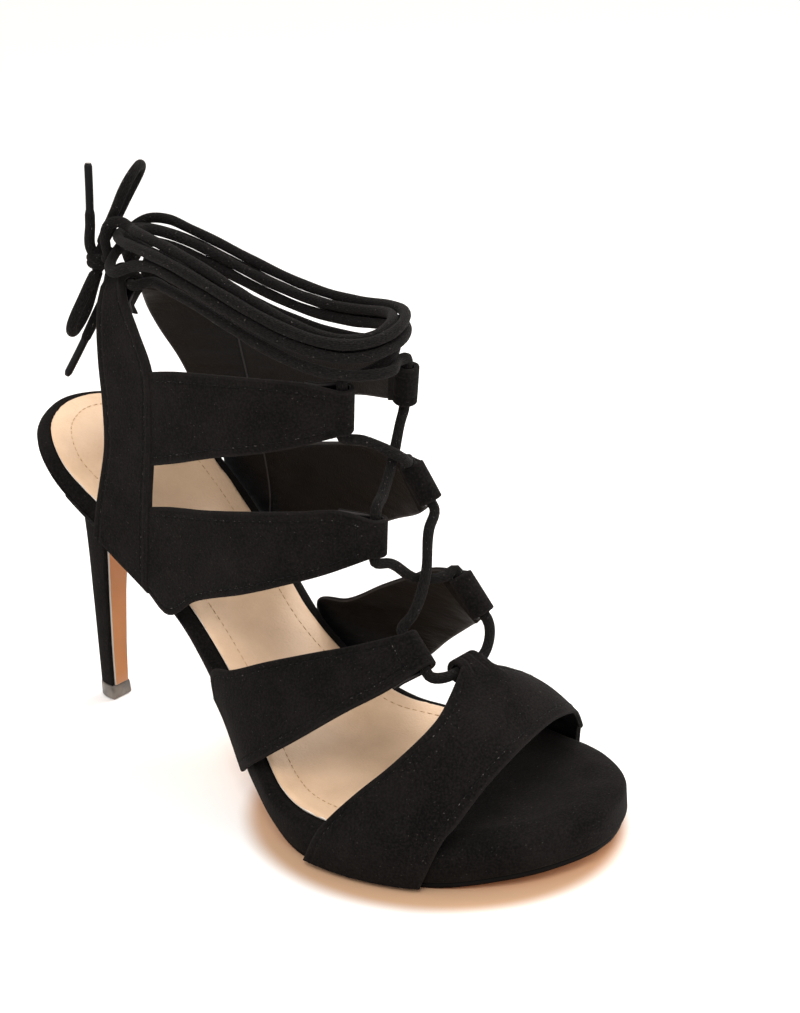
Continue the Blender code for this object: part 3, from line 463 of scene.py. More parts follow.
def span_point(t, length, ends, slopes):
    """The place at a share t of one span of a smooth curve."""
    along = (t ** 3 - 2 * t ** 2 + t) * slopes[0] + (t ** 3 - t ** 2) * slopes[1]
    share = 3 * t ** 2 - 2 * t ** 3
    return (1 - share) * ends[0] + share * ends[1] + length * along


def smooth_points(points, steps, closed=False):
    """Points, or rows of points, along a smooth curve through the given ones, with some steps a span."""
    points = np.array(points, float)
    if closed:
        points = np.concatenate([points[-1:], points, points[:2]])
    lengths = [np.linalg.norm(after - before) for before, after in zip(points, points[1:])]
    slopes = [(points[k + 1] - points[k]) / length for k, length in enumerate(lengths)]
    tangents = [slopes[0]]
    for k in range(1, len(lengths)):
        before, after = lengths[k - 1], lengths[k]
        tangents.append((slopes[k - 1] * after + slopes[k] * before) / (before + after))
    tangents.append(slopes[-1])
    out = []
    for k in range(1, len(lengths) - 1) if closed else range(len(lengths)):
        out += [span_point(step / steps, lengths[k], points[k:k + 2], tangents[k:k + 2])
                for step in range(steps)]
    if not closed:
        out.append(points[-1])
    return np.array(out)


def travel_along(points):
    """How far along its line each point lies."""
    return np.concatenate([[0.0], np.cumsum(np.linalg.norm(np.diff(points, axis=0), axis=1))])


def at_travel(where, travel, points):
    """The place, or places, at a distance along a line."""
    return np.stack([np.interp(where, travel, points[:, axis]) for axis in range(3)], axis=-1)


def even_points(points, step):
    """The same curve with its points about one step apart."""
    travel = travel_along(points)
    count = max(2, int(round(travel[-1] / step)) + 1)
    return at_travel(np.linspace(0.0, travel[-1], count), travel, points)


def table_value(table, column, forward):
    """A value between a table's rows, on a curve that never runs past them."""
    places = np.array([row[0] for row in table])
    values = np.array([row[column] for row in table])
    slopes = np.diff(values) / np.diff(places)
    tangents = np.zeros(len(table))
    for k in range(1, len(table) - 1):
        if slopes[k - 1] * slopes[k] > 0:
            tangents[k] = 2 * slopes[k - 1] * slopes[k] / (slopes[k - 1] + slopes[k])
    tangents[0] = slopes[0]
    tangents[-1] = slopes[-1]
    forward = min(max(forward, places[0]), places[-1])
    k = min(int(np.searchsorted(places, forward, side="right")) - 1, len(table) - 2)
    width = places[k + 1] - places[k]
    return float(span_point((forward - places[k]) / width, width, values[k:k + 2], tangents[k:k + 2]))


def footbed(forward):
    return table_value(PROFILE, 1, forward)


def underside(forward):
    return table_value(PROFILE, 2, forward)


def outline(inset, steps):
    """The sole's edge as side and forward pairs: from the heel along the outer side to the toe, and back."""
    outer = [(-row[1], row[0]) for row in OUTLINE]
    inner = [(row[2], row[0]) for row in OUTLINE[-2:0:-1]]
    edge = smooth_points(outer + inner, steps, closed=True)
    along = np.roll(edge, -1, axis=0) - np.roll(edge, 1, axis=0)
    along /= np.linalg.norm(along, axis=1)[:, None]
    inward = np.stack([along[:, 1], -along[:, 0]], axis=1)
    return edge + inward * inset


def edge_side(sign, forward, proud):
    """How far out the sole's edge is on one side, with a strap standing proud of it."""
    edge = outline(-proud, STRAP_EDGE_STEPS)
    half = len(edge) // 2
    line = edge[:half + 1] if sign < 0 else edge[half:][::-1]
    return float(np.interp(forward, line[:, 1], line[:, 0]))


# ---------------------------------------------------------------- objects and nodes

def to_metres(points):
    """Points in the shoe's own sizes as points in the frame."""
    points = np.array(points, float)
    moved = np.stack([points[:, 0] - MIDDLE_SIDE, MIDDLE_FORWARD - points[:, 1], points[:, 2]], axis=1)
    return moved * MM


def add_object(name, data):
    made = bpy.data.objects.new(name, data)
    bpy.context.scene.collection.objects.link(made)
    return made


def add_node(tree, kind, settings=None, values=None):
    """A new node, with its settings made and its sockets given values or links."""
    made = tree.nodes.new(kind)
    for name, value in (settings or {}).items():
        setattr(made, name, value)
    for socket, value in (values or {}).items():
        if isinstance(value, bpy.types.NodeSocket):
            tree.links.new(value, made.inputs[socket])
        else:
            made.inputs[socket].default_value = value
    return made


# ---------------------------------------------------------------- materials

class Socket:
    """An output of a material's nodes. Arithmetic on it adds Math nodes."""

    def __init__(self, finish, output):
        self.finish = finish
        self.output = output

    def math(self, operation, first, second=0.0):
        return self.finish.node("ShaderNodeMath", {"operation": operation}, {0: first, 1: second})

    def __add__(self, other):
        return self.math("ADD", self, other)

    def __sub__(self, other):
        return self.math("SUBTRACT", self, other)

    def __mul__(self, other):
        return self.math("MULTIPLY", self, other)

    def sine(self):
        return self.math("SINE", self)

    def between(self, low, high):
        """0 at low and 1 at high, with a smooth way from one to the other."""
        return self.finish.node("ShaderNodeMapRange", {"interpolation_type": "SMOOTHSTEP"},
                                {"Value": self, "From Min": low, "From Max": high})


class Finish:
    """A material with one Principled shader, and the nodes that feed it."""

    def __init__(self, name, constants):
        self.material = bpy.data.materials.new(name)
        self.material.use_nodes = True
        self.tree = self.material.node_tree
        self.shader = self.tree.nodes["Principled BSDF"]
        for socket, value in constants.items():
            self.shader.inputs[socket].default_value = value

    def node(self, kind, settings=None, values=None, output=0):
        """One output of a new node."""
        plain = {socket: value.output if isinstance(value, Socket) else value
                 for socket, value in (values or {}).items()}
        return Socket(self, add_node(self.tree, kind, settings, plain).outputs[output])

    def place(self, scale=(1.0, 1.0, 1.0), turn=(0.0, 0.0, 0.0)):
        where = self.node("ShaderNodeTexCoord", output="Object")
        return self.node("ShaderNodeMapping", values={"Vector": where, "Scale": scale, "Rotation": turn})

    def grain(self, scale, detail=2.0, vector=None):
        """Soft random spots, with a number of them to the metre."""
        return self.node("ShaderNodeTexNoise", values={
            "Vector": vector or self.place(), "Scale": scale, "Detail": detail, "Roughness": 0.55})

    def attribute(self, name):
        return self.node("ShaderNodeAttribute", {"attribute_name": name}, output="Fac")

    def mix(self, share, first, second):
        """One colour turning into another as the share goes from 0 to 1."""
        first, second = (value if isinstance(value, Socket) else (*value, 1.0) for value in (first, second))
        return self.node("ShaderNodeMix", {"data_type": "RGBA"}, {0: share, 6: first, 7: second}, output=2)

    def feed(self, **values):
        for socket, value in values.items():
            self.tree.links.new(value.output, self.shader.inputs[socket.replace("_", " ")])

    def relief(self, height, depth):
        """The shader's normal from a height of 0 to 1 that stands for a depth in mm."""
        self.feed(Normal=self.node("ShaderNodeBump", values={
            "Height": height, "Strength": 1.0, "Distance": depth * MM}))


def suede(name):
    """Brushed black microsuede: a fine speckled nap, brushed patches, light lint, a sunk seam near edges."""
    finish = Finish(name, {"Roughness": 0.95, "Specular IOR Level": 0.04, "Sheen Weight": 0.02,
                           "Sheen Roughness": 0.6, "Sheen Tint": (0.78, 0.70, 0.66, 1.0)})
    nap = finish.grain(1500.0, 3.0)
    brushed = finish.grain(85.0, 3.0)
    pile = finish.grain(520.0, 2.0, finish.place((1.0, 2.4, 1.0), (0.3, 0.2, 0.6)))
    lint = finish.grain(1300.0, 1.0, finish.place((1.0, 1.0, 1.7), (0.5, 0.9, 0.1))).between(0.73, 0.78)
    edge = finish.attribute("edge")
    worn = edge.between(0.9, 0.1)
    seam = edge.between(SEAM_INSET - 0.9, SEAM_INSET) * edge.between(SEAM_INSET + 0.9, SEAM_INSET)
    share = nap.between(0.32, 0.72) * 0.5 + brushed.between(0.3, 0.75) * 0.3 + pile * 0.2
    cloth = finish.mix(share, *SUEDE_COLOURS)
    rubbed = finish.mix(worn * 0.3, cloth, WORN_SUEDE)
    finish.feed(Base_Color=finish.mix(lint * 0.45, rubbed, SUEDE_LINT))
    finish.relief(nap * 0.5 + pile * 0.35 + brushed * 0.6 - seam * 0.9, 0.28)
    return finish.material


def lining(name):
    """Smooth black lining, a little glossy, with fine leather grain, soft creases and a painted highlight
    along its cut edges.
    """
    finish = Finish(name, {"Specular IOR Level": 0.13})
    grain = finish.grain(1900.0, 2.0)
    creases = finish.grain(95.0, 3.0, finish.place((1.0, 0.45, 1.8), (0.5, 0.0, 0.3)))
    # painted highlight: the lining is lighter within a short way of its cut edges
    edge_highlight = finish.attribute("edge").between(0.75, 0.35)
    plain = finish.mix(creases.between(0.3, 0.7), *LINING_COLOURS)
    finish.feed(Base_Color=finish.mix(edge_highlight * 0.6, plain, LINING_EDGE_HIGHLIGHT), Roughness=creases * 0.25 + 0.38)
    finish.relief(grain * 0.15 + creases * 0.85, 0.9)
    return finish.material


def smooth_leather(name, dark, light, roughness, grain_depth, gloss, shine):
    """Smooth leather, paint or plastic, with a fine grain and faint clouds of tone."""
    finish = Finish(name, {"Specular IOR Level": shine, "Coat Weight": gloss, "Coat Roughness": 0.12})
    clouds = finish.grain(42.0, 3.0)
    grain = finish.grain(1250.0, 3.0)
    share = clouds.between(0.25, 0.75) * 0.7 + grain * 0.3
    finish.feed(Base_Color=finish.mix(share, dark, light), Roughness=grain * 0.12 + (roughness - 0.06))
    finish.relief(grain * 0.6 + clouds * 0.8, grain_depth)
    return finish.material


def hard_rubber(name):
    """The dark moulded tip of the heel."""
    finish = Finish(name, {"Specular IOR Level": 0.45})
    grain = finish.grain(900.0, 2.0)
    rubbed = finish.grain(160.0, 2.0)
    finish.feed(Base_Color=finish.mix(rubbed.between(0.35, 0.7), *RUBBER_COLOURS),
                Roughness=grain * 0.2 + 0.3)
    finish.relief(grain, 0.06)
    return finish.material


def knitted_lace(name):
    """Round knitted lace: fine ribs along it, a fuzzy nap and a little lint."""
    finish = Finish(name, {"Roughness": 0.92, "Specular IOR Level": 0.05, "Sheen Weight": 0.03,
                           "Sheen Roughness": 0.5, "Sheen Tint": (0.8, 0.74, 0.7, 1.0)})
    chart = finish.node("ShaderNodeUVMap", {"uv_map": "lace"})
    around, along = (finish.node("ShaderNodeSeparateXYZ", values={0: chart}, output=k) for k in (0, 1))
    ribs = (around * (LACE_RIBS * math.tau)).sine() * 0.5 + 0.5
    knit = (along * (LACE_KNIT * math.tau) + (around * (LACE_RIBS * math.pi)).sine() * 2.0).sine() * 0.5 + 0.5
    fuzz = finish.grain(1700.0, 3.0)
    lint = finish.grain(1400.0, 1.0, finish.place((1.6, 1.0, 1.0), (0.2, 0.6, 0.4))).between(0.71, 0.76)
    share = ribs * 0.3 + knit * 0.2 + fuzz.between(0.3, 0.7) * 0.5
    yarn = finish.mix(share, *YARN_COLOURS)
    finish.feed(Base_Color=finish.mix(lint * 0.6, yarn, YARN_LINT))
    finish.relief(ribs * 0.35 + knit * 0.25 + fuzz * 0.6, 0.22)
    return finish.material


def thread(name, dark, light, mostly_dark):
    """Twisted sewing thread, whose light fibres show more or less."""
    finish = Finish(name, {"Roughness": 0.7, "Specular IOR Level": 0.08})
    twist = finish.grain(1500.0, 1.0, finish.place((1.0, 1.0, 1.0), (0.6, 0.3, 0.9)))
    finish.feed(Base_Color=finish.mix(twist.between(mostly_dark, mostly_dark + 0.2), dark, light))
    finish.relief(twist, 0.1)
    return finish.material


def studio_paper(name):
    """The white floor, with a warm tone painted close around the forefoot for the tan sole's reflection and
    warm shadow.
    """
    finish = Finish(name, {"Roughness": 0.5, "Specular IOR Level": 0.2})
    where = finish.node("ShaderNodeTexCoord", output="Object")
    around = finish.node("ShaderNodeMapping", values={"Vector": where, "Location": FOREFOOT_SHIFT,
                                                      "Scale": FOREFOOT_SCALE})
    reach = finish.node("ShaderNodeVectorMath", {"operation": "LENGTH"}, {0: around}, output=1)
    # painted reflection: the floor turns warm tan close round the forefoot, for the tan sole's bounce and
    # shadow
    finish.feed(Base_Color=finish.mix(reach.between(*PAINTED_REFLECTION_REACH), FLOOR_COLOUR, PAINTED_SOLE_REFLECTION))
    return finish.material


# ---------------------------------------------------------------- meshes

def new_mesh(name, points, faces, slots, materials):
    """A mesh of points in mm, with a slot of the materials for each face."""
    mesh = bpy.data.meshes.new(name)
    mesh.from_pydata(to_metres(points).tolist(), [], faces)
    for material in materials:
        mesh.materials.append(material)
    mesh.polygons.foreach_set("material_index", slots)
    return mesh


def facing_out(mesh):
    """The same mesh, smooth and with its faces turned outwards."""
    shell = bmesh.new()
    shell.from_mesh(mesh)
    bmesh.ops.recalc_face_normals(shell, faces=shell.faces)
    shell.to_mesh(mesh)
    shell.free()
    mesh.shade_smooth()
    return mesh


class Form:
    """The faces of one piece, gathered in mm, with each point's distance from a cut edge."""

    def __init__(self):
        self.points = []
        self.faces = []
        self.slots = []
        self.edges = []

    def add(self, points, faces, slots, edges=FAR_FROM_EDGE):
        start = len(self.points)
        self.points += [tuple(point) for point in points]
        self.faces += [tuple(start + corner for corner in face) for face in faces]
        self.slots += slots if isinstance(slots, list) else [slots] * len(faces)
        self.edges += list(edges) if isinstance(edges, np.ndarray) else [edges] * len(points)

    def mesh(self, name, materials):
        mesh = new_mesh(name, self.points, self.faces, self.slots, materials)
        mesh.attributes.new("edge", "FLOAT", "POINT").data.foreach_set("value", self.edges)
        return facing_out(mesh)


def add_piece(mesh, slot, *nodes):
    """A finished piece of the shoe, which stands for CAD nodes; its slot is not used."""
    piece = add_object(mesh.name, mesh)
    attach(piece, "root")
    if nodes:
        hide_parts(*nodes)
    return piece


def wavered(grid, amount):
    """The same points moved a little, as cut and sewn leather is never quite even."""
    moves = [[noise.noise_vector(Vector(point) * WAVER_SCALE) for point in row] for row in grid]
    return grid + np.array(moves) * amount


def outward(grid, inside):
    """The directions out of a sheet of points, away from a place on its inner side."""
    normals = unit(np.cross(np.gradient(grid, axis=0), np.gradient(grid, axis=1)))
    half = max(2, len(grid) // 2)
    side = np.sum(normals[:half] * (grid[:half] - np.array(inside)))
    return normals * np.sign(side)


def side_distance(grid):
    """How far each point of a sheet lies from the nearer of the sheet's two long edges."""
    travel = np.array([travel_along(row) for row in grid])
    return np.minimum(travel, travel[:, -1:] - travel)


def sheet_faces(rows, columns):
    """The numbers of a sheet's points, its faces, and the places along its border."""
    number = np.arange(rows * columns).reshape(rows, columns)
    quads = [(number[r, c], number[r, c + 1], number[r + 1, c + 1], number[r + 1, c])
             for r in range(rows - 1) for c in range(columns - 1)]
    border = ([(0, c) for c in range(columns)] + [(r, columns - 1) for r in range(1, rows)]
              + [(rows - 1, c) for c in range(columns - 2, -1, -1)]
              + [(r, 0) for r in range(rows - 2, 0, -1)])
    return number, quads, border


def wall(form, grid, normals, outer, inner, slots=(0, 0, 1), rim=RIM_ROUND):
    """A closed wall on a sheet of points: its outer and inner faces, and rounded rims between them.

    outer and inner are how far its faces stand from the sheet; slots are those of the outer face, the
    rim and the inner face.
    """
    number, quads, border = sheet_faces(*grid.shape[:2])
    outward_edge = np.zeros_like(grid)
    outward_edge[0] += unit(grid[0] - grid[1])
    outward_edge[-1] += unit(grid[-1] - grid[-2])
    outward_edge[:, 0] += unit(grid[:, 0] - grid[:, 1])
    outward_edge[:, -1] += unit(grid[:, -1] - grid[:, -2])
    edges = side_distance(grid)
    drawn_in = grid - outward_edge * rim
    start = len(form.points)
    form.add((drawn_in + normals * outer).reshape(-1, 3), quads, slots[0], edges.reshape(-1))
    form.add((drawn_in - normals * inner).reshape(-1, 3), [quad[::-1] for quad in quads], slots[2],
             edges.reshape(-1))
    layers = [[start + number[place] for place in border]]
    for step in range(1, RIM_STEPS):
        turn = math.pi * step / RIM_STEPS
        height = (outer - inner) / 2 + (outer + inner) / 2 * math.cos(turn)
        points = [grid[place] - outward_edge[place] * rim * (1 - math.sin(turn)) + normals[place] * height
                  for place in border]
        layers.append(list(range(len(form.points), len(form.points) + len(points))))
        form.add(points, [], slots[1], 0.0)
    layers.append([start + number.size + number[place] for place in border])
    for k, (upper, lower) in enumerate(zip(layers, layers[1:])):
        slot = slots[1] if k < RIM_STEPS - 1 else slots[2]
        for j in range(len(border)):
            after = (j + 1) % len(border)
            form.faces.append((upper[j], lower[j], lower[after], upper[after]))
            form.slots.append(slot)


def ring_faces(count, rings, start=0):
    """The faces between some rings that have a count of points each, from a first point on."""
    return [(base + j, base + after, base + count + after, base + count + j)
            for base in range(start, start + (rings - 1) * count, count)
            for j, after in enumerate([*range(1, count), 0])]


def ringed(rings):
    """A closed body through rings of points, filled in strips from side to side at both ends."""
    count = len(rings[0])
    faces = ring_faces(count, len(rings))
    for base in (0, (len(rings) - 1) * count):
        for k in range(count // 2):
            corners = [k, k + 1, (count - k - 1) % count, (count - k) % count]
            faces.append([base + corner for i, corner in enumerate(corners) if corner not in corners[:i]])
    form = Form()
    form.add(np.concatenate(rings), faces, 0)
    return form


# ---------------------------------------------------------------- sole and heel

def sole_ring(inset, height):
    """The sole's edge drawn in by the inset, at a height that depends on how far forward a point is."""
    return np.array([(side, forward, height(forward)) for side, forward in outline(inset, RING_SPANS)])


def platform():
    """The suede-covered board, with a soft ridge inside its edge at the toe and a crease behind."""
    def top_ring(inset, behind, at_toe):
        def height(forward):
            toe = ease((forward - TOE_RIDGE_FROM) / TOE_RIDGE_RUN)
            return footbed(forward) + behind * (1 - toe) + at_toe * toe
        return sole_ring(inset, height)

    return ringed([sole_ring(inset, lambda forward, up=up: underside(forward) + up)
                   for inset, up in PLATFORM_BASE]
                  + [sole_ring(0.0, lambda forward: (underside(forward) + footbed(forward)) / 2)]
                  + [top_ring(*profile) for profile in PLATFORM_RIM])


def inset_distance(points, inset):
    """How far points lie inside the sole's edge, drawn in by the inset."""
    edge = outline(inset, SOCK_EDGE_STEPS)
    flat = points[..., None, :2] - edge
    return np.sqrt((flat ** 2).sum(axis=-1)).min(axis=-1)


def sole_bounds(inset):
    """How far out the sole goes on either side, as a function of how far forward."""
    edge = outline(inset, SIDE_STEPS)
    half = len(edge) // 2
    lines = (edge[:half + 1], np.vstack([edge[half:], edge[:1]])[::-1])
    return lambda forward: [float(np.interp(forward, line[:, 1], line[:, 0])) for line in lines]


def cosine_steps(count):
    """Shares from 0 to 1 that lie close together at both ends."""
    return (1 - np.cos(np.linspace(0.0, math.pi, count + 1))) / 2


def sock():
    """The padded tan sock, rounded down to its cut edge, with a sewn channel inside the edge."""
    bounds = sole_bounds(SOCK_INSET)
    start = OUTLINE[0][0] + SOCK_INSET + FIT_GAP
    grid = []
    for forward in start + (SOCK_FRONT - start) * cosine_steps(SOCK_RIBS):
        slant = SOCK_SLANT * ease((forward - SOCK_SLANT_FROM) / (SOCK_FRONT - SOCK_SLANT_FROM))
        row = []
        for share in cosine_steps(SOCK_COLUMNS):
            place = forward - slant * ease(share)
            left, right = bounds(place)
            row.append((left + (right - left) * share, place, footbed(place)))
        grid.append(row)
    grid = np.array(grid)
    inside = np.minimum(inset_distance(grid, SOCK_INSET), grid[-1, :, 1] - grid[..., 1])
    rounded = np.sqrt(1 - (1 - np.clip(inside / SOCK_ROUND, 0, 1)) ** 2)
    channel = np.exp(-((inside - SOCK_SEAM_INSET) / SOCK_CHANNEL_WIDTH) ** 2)
    height = SOCK_LIFT + SOCK_THICKNESS * rounded - SOCK_CHANNEL_DEPTH * channel
    top = grid + np.array([0, 0, 1.0]) * height[..., None]
    number, quads, border = sheet_faces(*grid.shape[:2])
    form = Form()
    form.add(top.reshape(-1, 3), quads, 0)
    # the underside and the cut edge take the second finish, whose pale colour is a painted highlight along
    # the edge
    form.add(grid.reshape(-1, 3) + np.array([0, 0, SOCK_BASE]), [quad[::-1] for quad in quads], 1)
    sides = [(number[a], number[b], number.size + number[b], number.size + number[a])
             for a, b in zip(border, border[1:] + border[:1])]
    form.faces += sides
    form.slots += [1] * len(sides)
    return form


def sock_seam():
    """The line of stitches round the sock."""
    edge = outline(SOCK_INSET + SOCK_SEAM_INSET, SIDE_STEPS)
    lift = SOCK_LIFT + SOCK_THICKNESS - SOCK_SEAM_SINK
    stop = SOCK_FRONT - SOCK_SEAM_END
    half = len(edge) // 2
    inner, outer = ([(side, forward, footbed(forward) + lift) for side, forward in line if forward < front]
                    for line, front in ((edge[half:], stop - SOCK_SLANT), (edge[:half], stop)))
    return [np.array(inner + outer)]


def outsole():
    """The thin sole: tan underneath, with a black painted edge."""
    bounds = sole_bounds(OUTSOLE_INSET)
    start = HEEL_FRONT + BREAST_THICKNESS + 2 * FIT_GAP
    end = OUTLINE[-1][0] - OUTSOLE_INSET - FIT_GAP
    ribs = []
    for forward in start + (end - start) * cosine_steps(OUTSOLE_RIBS):
        left, right = bounds(forward)
        low = underside(forward) - SOLE_GAP - OUTSOLE_THICKNESS
        rim = [(inset, low + up) for inset, up in OUTSOLE_RIM] + [(0.0, underside(forward) - SEAT_SINK)]
        ribs.append([(left + inset, forward, up) for inset, up in rim]
                    + [(right - inset, forward, up) for inset, up in rim[::-1]])
    count = len(ribs[0])
    last = (len(ribs) - 1) * count
    form = Form()
    form.add(np.concatenate(ribs), ring_faces(count, len(ribs)) + [range(count), range(last, last + count)],
             ([1] * (count - 1) + [0]) * (len(ribs) - 1) + [0, 1])
    return form


def heel_section(back, front, half_width, up):
    """A level section of the heel: round at the back, straight across the front."""
    turns = [math.pi * k / HEEL_SIDES for k in range(HEEL_SIDES + 1)]
    return np.array([(-half_width * math.cos(turn),
                      front - (front - back) * math.sin(turn) ** HEEL_FULLNESS, up) for turn in turns])


def heel_sections():
    """The heel from its tip to the seat, where it spreads to the edge of the sole."""
    stem = smooth_points([row[1:] for row in STEM], STEM_STEPS)
    heights = smooth_points([(row[0],) * 3 for row in STEM], STEM_STEPS)[:, 0]
    sections = [heel_section(*sizes, up) for sizes, up in zip(stem, heights)]
    seat = heel_section(OUTLINE[0][0] + HEEL_SEAT_INSET, HEEL_FRONT, 1.0, 0.0)
    for point in seat:
        point[0] = edge_side(math.copysign(1.0, point[0]), point[1], -HEEL_SEAT_INSET)
        point[2] = underside(point[1]) - SEAT_SINK
    top = sections[-1]
    for step in range(1, HEEL_FLARE_STEPS + 1):
        rise = step / HEEL_FLARE_STEPS
        spread = rise ** HEEL_FLARE_CURVE
        section = top * (1 - spread) + seat * spread
        section[:, 2] = STEM[-1][0] * (1 - rise) + seat[:, 2] * rise
        sections.append(section)
    return sections


def top_piece():
    """The hard tip under the heel, a little wider than the stem and rounded at its edges."""
    back, front, half_width = STEM[0][1:]
    return ringed([heel_section(back - spread, front + spread, half_width + spread, up)
                   for up, spread in TOP_PIECE_LAYERS])


def heel_breast():
    """The glossy tan cover down the front of the heel."""
    rows = []
    inward = np.array([BREAST_INSET, 0.0, 0.0])
    forward = np.array([0.0, SOLE_GAP + BREAST_THICKNESS / 2, 0.0])
    for section in heel_sections():
        left, right = section[0] + inward + forward, section[-1] - inward + forward
        rows.append([left * (1 - share) + right * share for share in np.linspace(0, 1, BREAST_COLUMNS + 1)])
    rows[-1] = [point - np.array([0.0, 0.0, BREAST_THICKNESS]) for point in rows[-1]]
    grid = np.array(rows)
    form = Form()
    # the rim takes the second finish, light grey, a painted highlight along the cover's edge
    wall(form, grid, outward(grid, IN_HEEL), BREAST_THICKNESS / 2,
         BREAST_THICKNESS / 2 + BREAST_SINK, slots=(0, 1, 1), rim=BREAST_RIM)
    return form


# ---------------------------------------------------------------- upper

def across(first, last, columns, bulge=0.0):
    """Points across a strap, with its middle lifted by the bulge."""
    first, last = np.array(first, float), np.array(last, float)
    share = np.linspace(0.0, 1.0, columns + 1)[:, None]
    return first * (1 - share) + last * share + np.array([0.0, 0.0, bulge]) * np.sin(math.pi * share)


def section_rows(table, sign, columns):
    """The rows of a strap's table on the outer (-1) or inner (1) side."""
    return [across((sign * out_a, forward_a, up_a), (sign * out_b, forward_b, up_b), columns)
            for out_a, forward_a, up_a, out_b, forward_b, up_b in table]


def root_row(sign, corners, columns, up):
    """A row that follows the sole's edge between two corners."""
    proud = SOLE_GAP + WALL / 2
    return np.array([(edge_side(sign, forward, proud), forward, up(forward))
                     for forward in np.linspace(corners[0], corners[1], columns + 1)])


def root_rows(sign, low, high, columns, tuck, rise):
    """A strap's first two rows: under the sole's edge, and beside the footbed."""
    return [root_row(sign, low[sign], columns, lambda forward: underside(forward) - tuck),
            root_row(sign, high[sign], columns, lambda forward: footbed(forward) + rise)]


def rows_before_end(rows, distances):
    """The rows of a sheet, cut back and filled in so that its last ones lie at these distances."""
    back = np.array(rows)[::-1]
    columns = range(back.shape[1])
    travel = np.stack([travel_along(back[:, k]) for k in columns], axis=1)
    kept = [row for row, reach in zip(back[::-1], travel[::-1]) if reach.mean() > max(distances) + 1.0]
    kept += [np.array([at_travel(distance, travel[:, k], back[:, k]) for k in columns])
             for distance in sorted(distances, reverse=True)]
    return kept + [back[0]]


def inward_normal(rows, k, inside):
    """The direction towards the foot at one row of a sheet."""
    normal = unit(np.cross((rows[k] - rows[k - 1]).mean(axis=0), rows[k][-1] - rows[k][0]))
    return normal * np.sign(normal @ (np.array(inside) - rows[k].mean(axis=0)))


def folded_end(rows, inside, fold=STRAP_FOLD):
    """A strap's rows with its end turned back into a tunnel, and the tunnel's middle line."""
    rows = rows_before_end(rows, TAIL_ROWS)
    normal = inward_normal(rows, len(rows) - 1, inside)
    along = unit(np.cross(normal, rows[-1][-1] - rows[-1][0]))
    along *= np.sign(along @ (rows[-1] - rows[-2]).mean(axis=0))
    middle = rows[-1] + normal * TUNNEL_RADIUS
    turns = [math.radians(fold * step / FOLD_STEPS) for step in range(1, FOLD_STEPS + 1)]
    turned = [middle + TUNNEL_RADIUS * (along * math.sin(turn) - normal * math.cos(turn)) for turn in turns]
    for k in (len(rows) - len(TAIL_ROWS), len(rows) - len(TAIL_ROWS) - 1):
        turned.append(rows[k] + inward_normal(rows, k, inside) * (WALL + FOLD_CLEARANCE))
    return np.array(rows + turned), middle


class Strap:
    """One sheet of the upper, with its faces' directions and the row where its end starts to fold."""

    def __init__(self, grid, inside, fold_row, first_row=0):
        self.grid = wavered(np.array(grid), WAVER)
        self.normals = outward(self.grid, inside)
        self.fold_row = fold_row
        self.first_row = first_row

    def along(self, side, distance, first, last, lift):
        """A line along the strap at a distance from its first (0) or last (-1) edge, on its outer face."""
        line = []
        for places, normals in zip(self.grid[first:last], self.normals[first:last]):
            if side != 0:
                places, normals = places[::-1], normals[::-1]
            travel = travel_along(places)
            out = unit(at_travel(distance, travel, normals))
            line.append(at_travel(distance, travel, places) + out * lift)
        return np.array(line)

    def across(self, row, lift):
        """A line across the strap on its outer face, between its two seams."""
        travel = travel_along(self.grid[row])
        places = np.linspace(SEAM_INSET, travel[-1] - SEAM_INSET, SEAM_POINTS)
        return at_travel(places, travel, self.grid[row] + self.normals[row] * lift)

    def seams(self, lift, end_seam=True):
        start = max(self.first_row, SEAM_START)
        lines = [self.along(side, SEAM_INSET, start, self.fold_row - 1, lift) for side in (0, -1)]
        if end_seam:
            to_end = travel_along(self.grid[self.fold_row::-1].mean(axis=1))[1:]
            row = self.fold_row - 1 - int(np.argmin(abs(to_end - END_SEAM)))
            lines.append(self.across(row, lift))
        return lines


def fold_start(grid):
    """The row of a folded strap at which its fold starts."""
    return len(grid) - FOLD_STEPS - TAIL_COUNT - 1


def quarter(sign, spine, top, straps):
    """One side's back part: a spine folded over the lowest turn of lace, and two straps to the instep.

    It gives the spine and the straps, and the middle lines of its three tunnels: spine, top, middle.
    """
    low = root_row(sign, QUARTER_ROOT[sign], SPINE_COLUMNS,
                   lambda forward: underside(forward) - STRAP_TUCKS[0])
    ends = [ring_point(turn, top["level"], top["radial"] + TUNNEL_RADIUS) for turn in top["angles"]]
    if sign > 0:
        ends.reverse()
    rows = smooth_points([low, *section_rows(spine, sign, SPINE_COLUMNS), across(*ends, SPINE_COLUMNS)],
                         CURVE_STEPS)
    inside = (0.0, RING_MIDDLE, ends[0][2])
    folded, middle = folded_end(rows, inside)
    pieces, middles = [Strap(folded, IN_QUARTER, fold_start(folded))], [middle]
    for table, (first, last) in zip(straps, STRAP_STARTS):
        stop = CURVE_STEPS * last - 1 if last else None
        picked = rows[CURVE_STEPS * first:stop:-1]
        shared = picked[:, -1]
        tucked = [picked[:, -1 - k] for k in range(STRAP_TUCK, 0, -1)]
        strap = smooth_points([shared] + section_rows(table, sign, len(shared) - 1), CURVE_STEPS)
        inside = (0.0, RING_MIDDLE, strap[-1][0][2])
        folded, middle = folded_end(strap, inside)
        folded = np.concatenate([tucked, folded])
        pieces.append(Strap(folded, inside, fold_start(folded), STRAP_TUCK + 1))
        middles.append(middle)
    return pieces, middles


